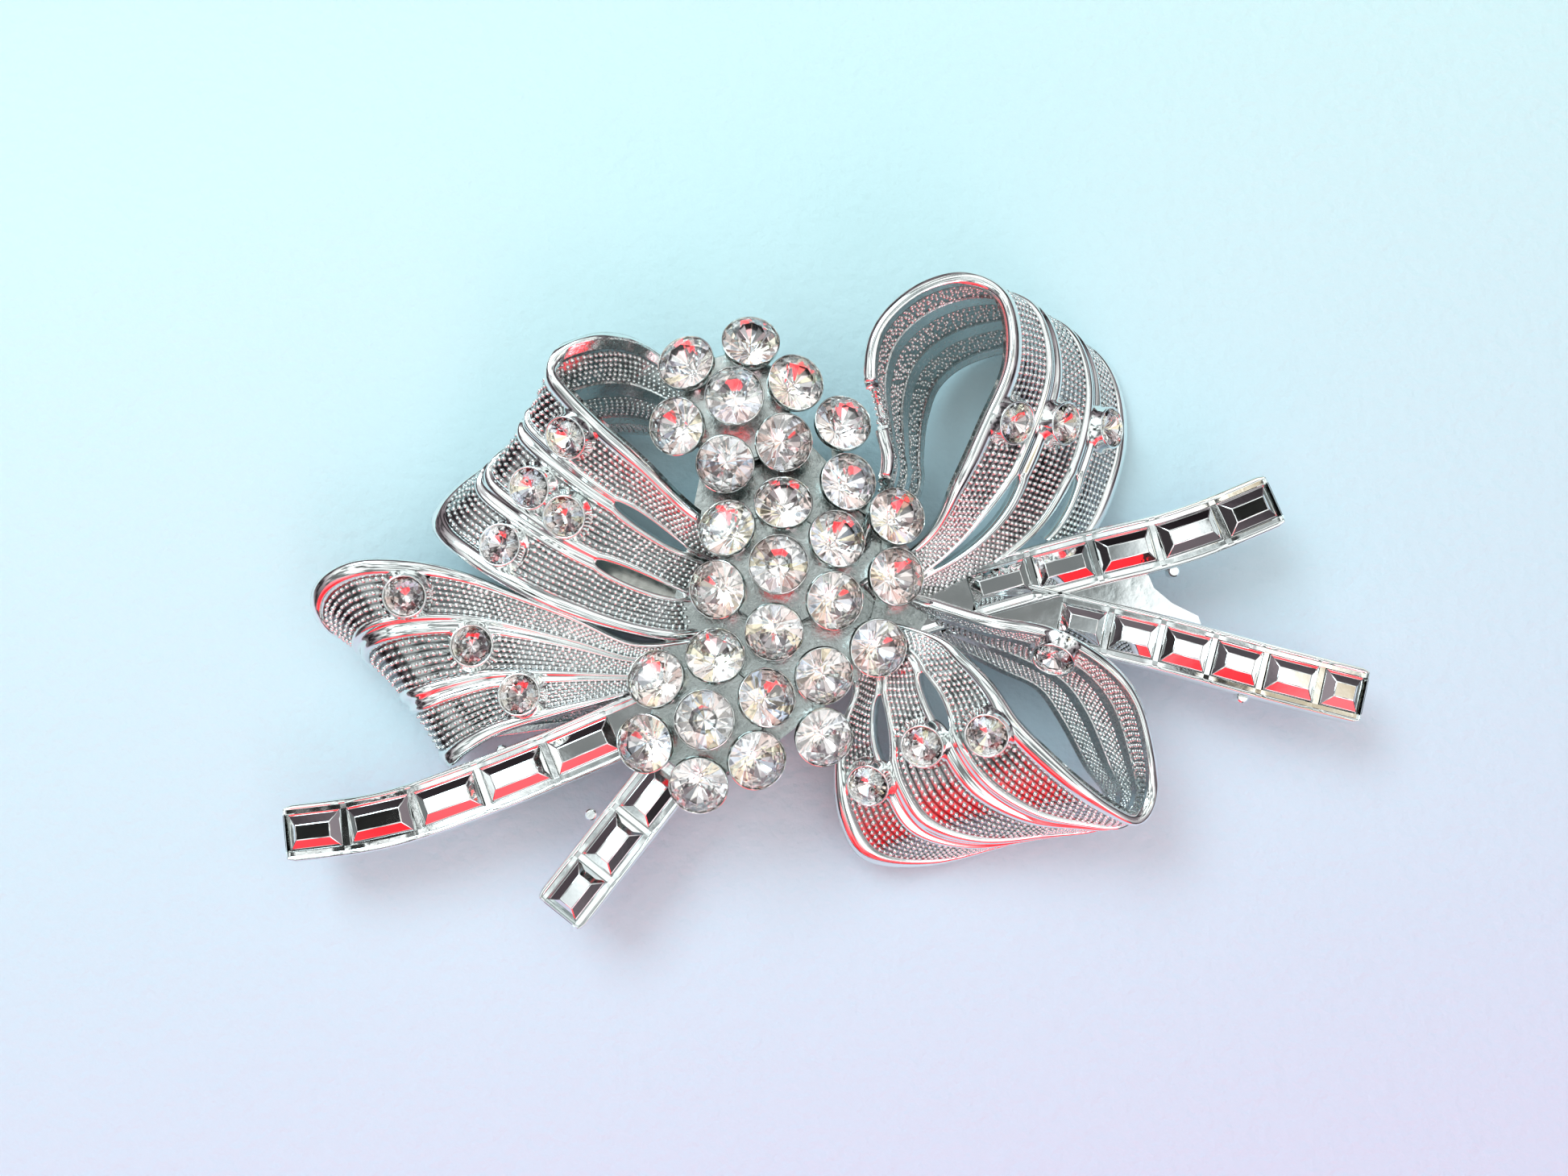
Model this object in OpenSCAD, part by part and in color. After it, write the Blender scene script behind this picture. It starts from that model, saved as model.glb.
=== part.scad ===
// Ribbon spray brooch: four cast ribbon loops and four channel tails around a hub,
// a cluster of cup-set round stones on top, and a swinging pin with a turning safety
// catch behind. Millimetres. +X runs along the spray, +Z points out of the front, and
// z = 0 is the surface that the brooch lies on.

/* [Overall] */
// Length of the spray from tail tip to tail tip
spray_length = 85; // [70:0.5:102]
// Height of the bright loop edges above the surface
loop_height = 13; // [10.8:0.1:15.6]

/* [Ribbon] */
// Thickness of the cast ribbon
ribbon_t = 0.8; // [0.6:0.05:1]
// Share of the ribbon's width that each slit takes
slit_share = 0.07; // [0.04:0.01:0.12]

/* [Cluster stones] */
// Diameter of a cluster stone
stone_d = 4.1; // [3.4:0.05:5]
// Wall of a cup around its stone
cup_wall = 0.16; // [0.1:0.01:0.25]
// Gap between neighbouring cups
cup_gap = 0.35; // [0.3:0.01:0.6]
// Outward lean of the petal cups in degrees
petal_lean = 20; // [5:1:28]
// Height of the petal girdles above the surface
petal_height = 10.9; // [10.7:0.1:12.5]
// Rise of each floret's centre stone above its petals
centre_rise = 2; // [1.6:0.1:3]

/* [Ribbon stones] */
// Diameter of a ribbon stone
accent_d = 2.8; // [2.2:0.05:3.4]
// Wall of the raised collar around a ribbon stone
collar_wall = 0.35; // [0.2:0.05:0.6]

/* [Tails] */
// Width of a tail
tail_w = 4.4; // [3.6:0.1:5.4]
// Depth of a tail, front to back
tail_h = 2.6; // [2.2:0.1:3.2]
// Rim left at each side of the baguettes
tail_rim = 0.75; // [0.5:0.05:1]
// Bar left between two baguettes
baguette_bar = 0.55; // [0.3:0.05:1]
// Depth of the baguette pockets
pocket_depth = 1.1; // [0.8:0.1:1.5]

/* [Hub] */
// Thickness of the hub
hub_h = 2.8; // [2.6:0.1:3.4]
// Height of the hub's back face above the surface
hub_z = 4; // [3.9:0.1:4.6]

/* [Pin] */
// Diameter of the pin stem
stem_d = 0.9; // [0.7:0.05:1.1]
// Distance from the pin's hinge to the middle of the catch
pin_span = 34.5; // [28:0.5:38]
// Thickness of the bar that carries the pin
bar_t = 0.6; // [0.5:0.05:0.8]
// Width of the bar
bar_w = 4; // [3.4:0.1:5]
// Running clearance of the pin's moving pieces
run_gap = 0.04; // [0.03:0.01:0.06]

/* [Hidden] */
$fn = 48;

// Scale of the bow's plan and of its height
plan = spray_length / 85;
lift = loop_height / 13;

// Cup and chaton sizes
cup_r = stone_d / 2 + 0.03 + cup_wall;
cup_h = 0.5 * stone_d;
cup_floor = 0.35;
girdle_z = 0.46 * stone_d;
crown_h = 0.24 * stone_d;
pitch = 2 * cup_r + cup_gap;
cluster = pitch / 4.83;

// Floret centres, petal radii in cup pitches and petal directions
florets = [
    [[-7.1, 15.3], 1.0, [18, 76, 141, 203, 261, 320]],
    [[-3.8, 2.7], 1.015, [26, 86, 143, 200, 266, 329]],
    [[-9.2, -8.7], 1.0, [20, 82, 141, 201, 264, 322]]
];
floret_names = ["upper", "middle", "lower"];

// Side spray: place in plan and direction of lean of each cup
spray = [
    [1.1, 13.9, 40],
    [1.5, 9.35, 10],
    [5.2, 6.7, 20],
    [5.1, 2.1, 0],
    [3.7, -3.3, -35],
    [-0.4, -5.4, -60],
    [-0.4, -10, -50]
];
spray_lean = 18;
spray_drop = 0.95;

// Hub outline circles: place and radius
hub_circles = [[-6.5, 14.6, 2.6], [-9.2, -8.7, 4.5], [3.5, 1, 4.6]];

// Loops: high edge, low edge, sag of the band's middle, slits as [column, first row,
// last row] and stones as [station, share of width, side]. The first and last stations
// lie in the hub.
loop_upper_right_data = [
    [[2.5, 2, 7], [7.4, 5.4, 8.6], [9.4, 9.3, 11], [11.3, 13.4, 12], [13.2, 18, 12.8],
     [12.8, 22.6, 13], [10, 24.3, 13], [6.6, 23.4, 13], [3.8, 20.8, 12.8], [3, 17.4, 12.4],
     [3.9, 13.4, 11.6], [4.4, 10.2, 10.4], [2.5, 4.5, 7]],
    [[6, -1.5, 4.8], [12.5, 0.8, 5.2], [20.4, 5, 3], [24.2, 12, 1.6], [24.6, 18, 0.6],
     [22.4, 21.8, 0.4], [17.8, 22.6, 0.5], [12.6, 21.4, 1], [9.4, 19, 2], [8, 15.6, 3],
     [7.5, 12, 4], [7.3, 9.4, 4.5], [4.5, 3, 4.8]],
    -0.5,
    [[2, 3, 9], [5, 4, 10]],
    [[3.15, 0.13, -1], [3.3, 0.42, -1], [3.4, 0.76, -1]]
];
loop_upper_left_data = [
    [[-6.5, 5, 7.2], [-10.6, 7.6, 9.8], [-14, 10.8, 11.3], [-17, 13.4, 12],
     [-19.6, 16, 12.4], [-20.6, 17.6, 12.5], [-19.8, 19.3, 12.4], [-17.5, 20.2, 12],
     [-15.2, 20.6, 9.8], [-12.8, 19.6, 7.9], [-7, 15, 6.8]],
    [[-7.5, -1.5, 4.8], [-11.7, -2.6, 7], [-17.8, -1.4, 7.8], [-23, 0.6, 8],
     [-27.6, 3.2, 7.3], [-30.6, 5.6, 6], [-31, 7.8, 4.6], [-28.3, 11, 2.8],
     [-23.5, 14.2, 1], [-17, 15.5, 0.4], [-7.5, 13.5, 4.8]],
    -1.4,
    [[2, 4, 10], [5, 4, 10]],
    [[3.5, 0.16, 1], [3.75, 0.51, 1], [3, 0.53, 1], [3.7, 0.84, 1]]
];
loop_lower_right_data = [
    [[3.5, -0.8, 7], [8.3, -2.4, 9.6], [10.4, -4.2, 10.6], [12.3, -6.3, 11],
     [14, -8.8, 11], [16.2, -11, 10.6], [19, -13.5, 10], [21.4, -15.2, 9.2],
     [23.4, -16, 8.4], [24.5, -14.4, 8], [24.4, -11.5, 8.8], [23.3, -7.4, 9.5],
     [21, -4.6, 10], [17, -2.2, 10], [12, -1.2, 9.4], [6, 1, 7]],
    [[0.5, -3, 4.8], [2.1, -6.2, 6.2], [1.1, -9.2, 5.8], [0.6, -12.5, 5.2],
     [1, -16.3, 4], [3, -19.5, 2.6], [8, -20, 1], [14.5, -18.4, 0.4],
     [20.5, -16.9, 1.5], [22.4, -14.8, 2.4], [20.4, -12, 3.6], [18.2, -8.4, 4.6],
     [16.3, -6, 5.2], [13.3, -4.6, 5.4], [9.6, -2.6, 5], [6, -0.8, 4.8]],
    -0.2,
    [[2, 5, 10], [5, 5, 10]],
    [[3.85, 0.14, -1], [3.4, 0.45, -1], [3.6, 0.78, -1], [12.7, 0.25, 1]]
];
loop_lower_left_data = [
    [[-10, -2.2, 6.6], [-15, -2.6, 6.4], [-20, -0.4, 6.3], [-25, 1.6, 6.3],
     [-28.6, 2.9, 6.4], [-32.5, 3.6, 7.8], [-36.5, 3.5, 8.2], [-39.4, 2.2, 7.2],
     [-40.4, 0.2, 5.4], [-39, -1.5, 3.4], [-34, -1.8, 1.8], [-25, -2, 1.4],
     [-16, -3, 2.6], [-11, -3.2, 4.6]],
    [[-11, -6.6, 5.6], [-15, -6.8, 6], [-19, -7.8, 6.4], [-22.5, -8.8, 6.4],
     [-25.5, -9.8, 6], [-28, -11.2, 5.4], [-29.3, -12.2, 4.6], [-29.8, -12, 3.4],
     [-29.4, -11.2, 2.2], [-27.5, -10.2, 1.2], [-24, -9.6, 0.6], [-20, -9, 0.5],
     [-15.5, -7.5, 1.8], [-11.5, -7, 4.4]],
    -0.3,
    [],
    [[5.25, 0.18, 1], [4.15, 0.46, 1], [3.2, 0.8, 1]]
];

// Tails: centre line and how many baguettes it carries from which station
tail_left_data = [[[-10, -6.8], [-18, -10.3], [-26, -13.6], [-34, -16.3], [-41.7, -17.4]], 5, 0.8];
tail_bottom_data = [[[-9.8, -9.6], [-13.4, -14.2], [-17, -18.8], [-20.6, -23.4]], 3, 0.7];
tail_upper_right_data = [[[6, -0.3], [13.4, 1.9], [20.8, 3.9], [28.2, 5.8], [35.2, 8.6]], 5, 0.7];
tail_lower_right_data = [[[11.5, 0.6], [19, -1.1], [26.6, -2.9], [34.2, -5], [41.6, -6.9]], 6, 0.85];

// Web cast between the two right tails: outline and how far its top lies below theirs
web = [[11.5, 0.6], [20.8, 3.9], [25.2, 2.6], [25.6, 1.6], [27, 0.4], [29, -0.6], [30, -3.8],
       [19, -1.1]];
web_drop = 0.6;

// Ribbon grid: rows along the loop and columns across it, with two slit columns
rows = 44;
strip = (1 - 2 * slit_share) / 3;
columns = [0, strip / 2, strip, strip + slit_share, 1.5 * strip + slit_share,
           2 * strip + slit_share, 2 * strip + 2 * slit_share,
           2.5 * strip + 2 * slit_share, 1];

// Tail and pocket heights
tail_z = hub_z + 0.1;
tail_top = tail_z + tail_h;
baguette_w = tail_w - 2 * tail_rim;
baguette_rise = 0.35;

// Ribbon stones and collars
accent_r = accent_d / 2;
collar_bore = accent_r + 0.03;
collar_r = collar_bore + collar_wall;
accent_floor = 0.3;
accent_girdle = accent_floor + 0.25 * accent_d;
collar_top = accent_girdle + 0.15;

// Pin finding
pin_y = 2;
hinge_x = -22;
catch_x = hinge_x + pin_span;
bar_z = hub_z - bar_t;
foot_t = 0.5;
foot_z = bar_z - foot_t;
ear_r = 1.05;
ear_t = 0.5;
eye_r = 1.05;
rivet_r = 0.4;
tube_r = 1.5;
tube_wall = 0.3;
tube_len = 3;
stem_z = foot_z + 0.3 - tube_r;
rotor_r = tube_r - tube_wall - run_gap;
flange_t = 0.4;
rotor_bore = stem_d / 2 + 0.1;
slot_w = stem_d + 0.2;
tab_reach = 2.7;
tab_angle = -14;
bar_rivet_r = 0.45;
stem_tip = catch_x + tube_len / 2 + 1.6;

function unit(v) = v / norm(v);

// Catmull-Rom curve through a list of points
function blend(a, b, c, d, t) =
    0.5 * (2 * b + (c - a) * t + (2 * a - 5 * b + 4 * c - d) * t * t
    + (3 * b - a - 3 * c + d) * t * t * t);
function along(p, u) =
    let (last = len(p) - 1, i = max(0, min(floor(u), last - 1)))
    blend(p[max(i - 1, 0)], p[i], p[i + 1], p[min(i + 2, last)], u - i);

// Stations in the hub follow the cluster; all others follow the bow
function placed(p) =
    [for (i = [0:len(p) - 1])
        i == 0 || i == len(p) - 1
            ? [p[i].x * cluster, p[i].y * cluster, p[i].z + hub_z - 4]
            : [p[i].x * plan, p[i].y * plan, p[i].z * lift]];
function chord(band, u, v) = along(band[0], u) * (1 - v) + along(band[1], u) * v;
function across(band, u) =
    unit(cross(chord(band, u + 0.02, 0.5) - chord(band, u - 0.02, 0.5),
               along(band[1], u) - along(band[0], u)));
function ribbon_point(band, u, v) = chord(band, u, v) + across(band, u) * band[2] * 4 * v * (1 - v);
function tangent(band, u, v) =
    unit(ribbon_point(band, u + 0.02, v) - ribbon_point(band, u - 0.02, v));
function facing(band, u, v) =
    unit(cross(tangent(band, u, v), ribbon_point(band, u, v + 0.02) - ribbon_point(band, u, v - 0.02)));
function band_of(data) = [placed(data[0]), placed(data[1]), data[2]];

// Which cells of a ribbon are open, and one corner's index in the point list
function is_open(slits, i, j) =
    i < 0 || j < 0 || i >= rows || j >= len(columns) - 1
    || len([for (s = slits) if (j == s[0] && i >= s[1] && i < s[2]) 1]) > 0;
function corner(side, i, j) = (side * (rows + 1) + i) * len(columns) + j;

module ribbon_shell(band, slits) {
    step = (len(band[0]) - 1) / rows;
    points = [for (side = [1, -1], i = [0:rows], v = columns)
        ribbon_point(band, i * step, v) + facing(band, i * step, v) * side * ribbon_t / 2];
    cells = [for (i = [0:rows - 1], j = [0:len(columns) - 2]) if (!is_open(slits, i, j)) [i, j]];
    skins = [for (c = cells)
        let (i = c[0], j = c[1])
        each [[corner(0, i, j), corner(0, i, j + 1), corner(0, i + 1, j + 1)],
              [corner(0, i, j), corner(0, i + 1, j + 1), corner(0, i + 1, j)],
              [corner(1, i, j), corner(1, i + 1, j + 1), corner(1, i, j + 1)],
              [corner(1, i, j), corner(1, i + 1, j), corner(1, i + 1, j + 1)]]];
    borders = [for (c = cells)
        let (i = c[0], j = c[1])
        each [if (is_open(slits, i - 1, j)) [[i, j], [i, j + 1]],
              if (is_open(slits, i, j + 1)) [[i, j + 1], [i + 1, j + 1]],
              if (is_open(slits, i + 1, j)) [[i + 1, j + 1], [i + 1, j]],
              if (is_open(slits, i, j - 1)) [[i + 1, j], [i, j]]]];
    walls = [for (b = borders)
        let (p0 = corner(0, b[0][0], b[0][1]), q0 = corner(0, b[1][0], b[1][1]))
        let (p1 = corner(1, b[0][0], b[0][1]), q1 = corner(1, b[1][0], b[1][1]))
        each [[q0, p0, p1], [q0, p1, q1]]];
    polyhedron(points, concat(skins, walls), convexity = 12);
}

// Stands its children on a ribbon, with +Z along the ribbon's own face
module on_ribbon(band, stone) {
    u = stone[0];
    v = stone[1];
    p = ribbon_point(band, u, v);
    n = facing(band, u, v) * stone[2];
    t = tangent(band, u, v);
    b = cross(n, t);
    multmatrix([[t.x, b.x, n.x, p.x], [t.y, b.y, n.y, p.y], [t.z, b.z, n.z, p.z], [0, 0, 0, 1]])
        children();
}

module collar() {
    hull() {
        cylinder(r = collar_r + 0.35, h = ribbon_t / 2, $fn = 24);
        cylinder(r = collar_r, h = ribbon_t / 2 + 0.3, $fn = 24);
    }
    cylinder(r = collar_r, h = ribbon_t / 2 + collar_top, $fn = 24);
}

module ribbon_loop(data) {
    band = band_of(data);
    difference() {
        union() {
            ribbon_shell(band, data[3]);
            for (stone = data[4])
                on_ribbon(band, stone) collar();
        }
        for (stone = data[4])
            on_ribbon(band, stone)
                translate([0, 0, accent_floor])
                    cylinder(r = collar_bore, h = 4, $fn = 24);
        hub_block();
        for (tail = [tail_left_data, tail_bottom_data, tail_upper_right_data, tail_lower_right_data])
            tail_room(tail);
        for (k = [0:27])
            cup_room(k);
        for (f = [0:2])
            floret_backing(f, 0.1);
        spray_backing(0.1);
    }
}

module accent_stones(data) {
    band = band_of(data);
    for (stone = data[4])
        on_ribbon(band, stone)
            chaton(accent_r, accent_floor, accent_girdle, 0.22 * accent_d);
}

// Round pointed-back stone: culet, pavilion, girdle, crown and table
module chaton(r, low, girdle, crown) {
    band = 0.05;
    rotate_extrude()
        polygon([[0, low], [0.22 * r, low], [r, girdle - band], [r, girdle + band],
                 [0.52 * r, girdle + crown], [0, girdle + crown]]);
}

// Cup with a conical back and a straight bezel
module cup() {
    base_r = 0.58 * cup_r;
    seat_r = stone_d / 2 + 0.03;
    rotate_extrude()
        polygon([[0, 0], [base_r, 0], [cup_r, 0.75 * cup_h], [cup_r, cup_h], [seat_r, cup_h],
                 [seat_r, girdle_z - 0.2], [0.27 * stone_d / 2, cup_floor], [0, cup_floor]]);
}

// Cluster places: seven to a floret, centre first, then the side spray's seven
function floret_place(f, k) =
    let (floret = florets[f], c = floret[0] * cluster)
    k == 0 ? [[c.x, c.y, petal_height + centre_rise], 0, 0]
        : let (a = floret[2][k - 1], r = floret[1] * pitch)
          [[c.x + r * cos(a), c.y + r * sin(a), petal_height], petal_lean, a];
function spray_place(k) =
    [[spray[k][0] * cluster, spray[k][1] * cluster, petal_height - spray_drop],
     spray_lean, spray[k][2]];
function cluster_place(k) = k < 21 ? floret_place(floor(k / 7), k % 7) : spray_place(k - 21);

module at_cluster(k) {
    place = cluster_place(k);
    translate(place[0])
        rotate([0, place[1], place[2]])
            translate([0, 0, -girdle_z])
                children();
}

// Base point of a cup
function cup_base(k) =
    let (place = cluster_place(k), lean = place[1], a = place[2])
    place[0] - girdle_z * [sin(lean) * cos(a), sin(lean) * sin(a), cos(lean)];

module cup_room(k) {
    room_r = cup_r + 0.15;
    hull() {
        at_cluster(k)
            translate([0, 0, -0.15])
                cylinder(r1 = 0.7 * room_r, r2 = room_r, h = 0.5 * cup_h, $fn = 16);
        at_cluster(k)
            translate([0, 0, 2 * cup_h])
                cylinder(r = room_r, h = 2, $fn = 16);
    }
}

// Plate behind a floret's cups and its posts; grow makes the room they need
module floret_backing(f, grow) {
    post = cup_base(7 * f);
    plate_r = florets[f][1] * pitch - girdle_z * sin(petal_lean) + 0.1;
    plate_top = cup_base(7 * f + 1).z + 0.05;
    translate([post.x, post.y, plate_top - 0.8 - grow])
        cylinder(r = plate_r + grow, h = 0.8 + 2 * grow);
    translate([post.x, post.y, hub_z + hub_h])
        cylinder(r = 1.5 + grow, h = plate_top - 0.4 - hub_z - hub_h);
    translate([post.x, post.y, plate_top - 0.4])
        cylinder(r = 0.9 + grow, h = post.z + 0.45 - plate_top);
}

module floret(f) {
    for (k = [0:6])
        at_cluster(7 * f + k) cup();
    floret_backing(f, 0);
}

// Links that chain the side spray's cups and its posts; grow makes their room
module spray_backing(grow) {
    link_w = 0.9 + 2 * grow;
    for (k = [21:26]) {
        a = cup_base(k);
        way = cup_base(k + 1) - a;
        translate([a.x, a.y, a.z - 0.75 - grow])
            rotate([0, 0, atan2(way.y, way.x)])
                translate([0, -link_w / 2, 0])
                    cube([norm(way), link_w, 0.85 + 2 * grow]);
    }
    for (k = [24, 25]) {
        a = cup_base(k);
        translate([a.x - 0.3, a.y, hub_z + hub_h])
            cylinder(r = 0.8 + grow, h = a.z + 0.1 - hub_z - hub_h);
    }
}

module side_spray() {
    for (k = [21:27])
        at_cluster(k) cup();
    spray_backing(0);
}

module cluster_stone(k) {
    color("gainsboro")
        at_cluster(k) chaton(stone_d / 2, cup_floor, girdle_z, crown_h);
}

module hub_outline() {
    hull()
        for (c = hub_circles)
            translate([c[0] * cluster, c[1] * cluster])
                circle(r = c[2] * cluster, $fn = 32);
}

module hub_block() {
    translate([0, 0, hub_z])
        linear_extrude(hub_h) hub_outline();
}

module hub() {
    color("gray") hub_block();
}

// Tail centre line, its direction and a point beside it
function tail_line(p) = [for (i = [0:len(p) - 1]) p[i] * (i == 0 ? cluster : plan)];
function tail_dir(p, u) = unit(along(p, u + 0.05) - along(p, u - 0.05));
function beside(p, u, d) =
    let (t = tail_dir(p, u))
    along(p, u) + d * [-t.y, t.x];

module tail_outline(p, w) {
    last = len(p) - 1;
    n = 6 * last;
    tip = along(p, last);
    ahead = tail_dir(p, last - 0.06);
    left = [-ahead.y, ahead.x];
    r = 0.7;
    polygon(concat(
        [for (i = [0:n - 1]) beside(p, i * last / n, w / 2)],
        [for (a = [90:-30:0]) tip + left * (w / 2 - r + r * sin(a)) + ahead * r * cos(a)],
        [for (a = [0:-30:-90]) tip + left * (-w / 2 + r + r * sin(a)) + ahead * r * cos(a)],
        [for (i = [n - 1:-1:0]) beside(p, i * last / n, -w / 2)]));
}

module tail_block(data, grow) {
    translate([0, 0, tail_z - grow])
        linear_extrude(tail_h + 2 * grow)
            tail_outline(tail_line(data[0]), tail_w + 2 * grow);
}

// Room for a tail and for the baguettes that stand proud of it
module tail_room(data) {
    tail_block(data, 0.05);
    translate([0, 0, baguette_rise + 0.05])
        tail_block(data, 0.05);
}

// Ends of a baguette's share of the tail, and the baguette's length
function baguette_ends(data, k) =
    let (p = tail_line(data[0]), last = len(p) - 1, step = (last - data[2]) / data[1])
    [along(p, data[2] + k * step), along(p, data[2] + (k + 1) * step)];
function baguette_length(data, k) =
    let (ends = baguette_ends(data, k))
    norm(ends[1] - ends[0]) - baguette_bar;

// Stands its children on a tail where a baguette goes
module on_tail(data, k) {
    ends = baguette_ends(data, k);
    mid = (ends[0] + ends[1]) / 2;
    way = ends[1] - ends[0];
    translate([mid.x, mid.y, tail_top - pocket_depth])
        rotate([0, 0, atan2(way.y, way.x)])
            children();
}

module tail_bar(data) {
    difference() {
        tail_block(data, 0);
        for (k = [0:data[1] - 1]) {
            len_b = baguette_length(data, k);
            on_tail(data, k)
                translate([-len_b / 2, -baguette_w / 2, 0])
                    cube([len_b, baguette_w, 4]);
        }
        hub_block();
    }
}

// Step-cut foil-backed stone with sloping sides
module baguette(len_b) {
    gap = 0.03;
    bevel = 0.75;
    side = pocket_depth - 0.25;
    hull() {
        translate([-len_b / 2 + gap, -baguette_w / 2 + gap, 0])
            cube([len_b - 2 * gap, baguette_w - 2 * gap, side]);
        translate([-len_b / 2 + bevel, -baguette_w / 2 + bevel, 0])
            cube([len_b - 2 * bevel, baguette_w - 2 * bevel, pocket_depth + baguette_rise]);
    }
}

module baguettes(data) {
    color("lightsteelblue")
        for (k = [0:data[1] - 1])
            on_tail(data, k) baguette(baguette_length(data, k));
}

module loop_upper_right() {
    color("silver") ribbon_loop(loop_upper_right_data);
}

module loop_upper_left() {
    color("silver") ribbon_loop(loop_upper_left_data);
}

module loop_lower_right() {
    color("silver") ribbon_loop(loop_lower_right_data);
}

module loop_lower_left() {
    color("silver") ribbon_loop(loop_lower_left_data);
}

module tail_left() {
    color("silver") tail_bar(tail_left_data);
}

module tail_bottom() {
    color("silver")
        difference() {
            tail_bar(tail_bottom_data);
            tail_block(tail_left_data, 0);
        }
}

module tail_upper_right() {
    color("silver") tail_bar(tail_upper_right_data);
}

module tail_web() {
    difference() {
        translate([0, 0, tail_z])
            linear_extrude(tail_h - web_drop)
                polygon([for (p = web) p * plan]);
        tail_block(tail_lower_right_data, -0.01);
        hub_block();
    }
}

module tail_lower_right() {
    color("silver")
        difference() {
            union() {
                tail_bar(tail_lower_right_data);
                tail_web();
            }
            tail_block(tail_upper_right_data, 0);
        }
}

// Bar soldered behind the hub, with a rivet hole at each end
module pin_bar() {
    color("silver")
        difference() {
            union() {
                translate([hinge_x, pin_y - bar_w / 2, bar_z])
                    cube([pin_span, bar_w, bar_t]);
                for (x = [hinge_x, catch_x])
                    translate([x, pin_y, bar_z])
                        cylinder(r = bar_w / 2, h = bar_t);
            }
            for (x = [hinge_x, catch_x])
                translate([x, pin_y, bar_z - 1])
                    cylinder(r = bar_rivet_r, h = bar_t + 2);
        }
}

module bar_rivets() {
    color("gray")
        for (x = [hinge_x, catch_x])
            translate([x, pin_y, foot_z])
                cylinder(r = bar_rivet_r, h = foot_t + bar_t);
}

// Folded bracket whose two ears carry the hinge rivet
module joint_bracket() {
    ear_in = stem_d / 2 + 0.05;
    color("silver")
        difference() {
            union() {
                translate([hinge_x - 1.6, pin_y - ear_in - ear_t, foot_z])
                    cube([3.2, 2 * (ear_in + ear_t), foot_t]);
                for (y = [pin_y - ear_in - ear_t, pin_y + ear_in]) {
                    translate([hinge_x, y, stem_z])
                        rotate([-90, 0, 0])
                            cylinder(r = ear_r, h = ear_t);
                    translate([hinge_x - ear_r, y, stem_z])
                        cube([2 * ear_r, ear_t, foot_z - stem_z]);
                }
            }
            translate([hinge_x, pin_y - 3, stem_z])
                rotate([-90, 0, 0])
                    cylinder(r = rivet_r, h = 6);
            translate([hinge_x, pin_y, foot_z - 0.1])
                cylinder(r = bar_rivet_r, h = 2);
        }
}

module hinge_rivet() {
    reach = stem_d / 2 + 0.05 + ear_t;
    head_t = 0.3;
    color("gray")
        translate([hinge_x, pin_y, stem_z])
            rotate([-90, 0, 0]) {
                translate([0, 0, -reach])
                    cylinder(r = rivet_r, h = 2 * reach);
                for (z = [-reach - head_t, reach])
                    translate([0, 0, z])
                        cylinder(r = rivet_r + 0.3, h = head_t);
            }
}

// Pin stem: flat eye, straight wire and ground point
module pin_stem() {
    point_len = 7;
    straight = stem_tip - hinge_x - point_len;
    color("silver")
        translate([hinge_x, pin_y, stem_z])
            difference() {
                union() {
                    rotate([-90, 0, 0])
                        translate([0, 0, -stem_d / 2])
                            cylinder(r = eye_r, h = stem_d);
                    rotate([0, 90, 0])
                        cylinder(d = stem_d, h = straight);
                    translate([straight, 0, 0])
                        rotate([0, 90, 0])
                            cylinder(d1 = stem_d, d2 = 0.2, h = point_len);
                }
                rotate([-90, 0, 0])
                    translate([0, 0, -2])
                        cylinder(r = rivet_r + run_gap, h = 4);
            }
}

// Fixed tube of the catch, open below, with a foot riveted to the bar
module catch_housing() {
    color("silver")
        difference() {
            union() {
                translate([catch_x - tube_len / 2, pin_y, stem_z])
                    rotate([0, 90, 0])
                        cylinder(r = tube_r, h = tube_len);
                translate([catch_x - tube_len / 2, pin_y - 1.7, foot_z])
                    cube([tube_len, 3.4, foot_t]);
            }
            translate([catch_x - tube_len, pin_y, stem_z])
                rotate([0, 90, 0])
                    cylinder(r = tube_r - tube_wall, h = 2 * tube_len);
            translate([catch_x - tube_len, pin_y - slot_w / 2, stem_z - 3])
                cube([2 * tube_len, slot_w, 3]);
            translate([catch_x, pin_y, foot_z])
                cylinder(r = bar_rivet_r, h = 2);
        }
}

// Turning sleeve of the catch, with end flanges and a thumb tab
module catch_rotor() {
    end_gap = 0.06;
    half = tube_len / 2 + end_gap + flange_t;
    color("gainsboro")
        translate([catch_x, pin_y, stem_z])
            difference() {
                union() {
                    translate([-half, 0, 0])
                        rotate([0, 90, 0])
                            cylinder(r = rotor_r, h = 2 * half);
                    for (x = [-half, half - flange_t])
                        translate([x, 0, 0])
                            rotate([0, 90, 0])
                                cylinder(r = tube_r - 0.05, h = flange_t);
                    rotate([tab_angle, 0, 0])
                        translate([half - flange_t, rotor_r, -0.6])
                            cube([flange_t, tab_reach - rotor_r, 1.2]);
                }
                translate([-2 * half, 0, 0])
                    rotate([0, 90, 0])
                        cylinder(r = rotor_bore, h = 4 * half);
                translate([-2 * half, -slot_w / 2, -3])
                    cube([4 * half, slot_w, 3]);
            }
}

module floret_casting(f) {
    color("darkgray") floret(f);
}

module side_spray_casting() {
    color("darkgray") side_spray();
}

module accents(data) {
    color("gainsboro") accent_stones(data);
}

stone_names = [for (name = [each floret_names, "side"], k = [0:6]) str("stone_", name, "_", k + 1)];

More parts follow.
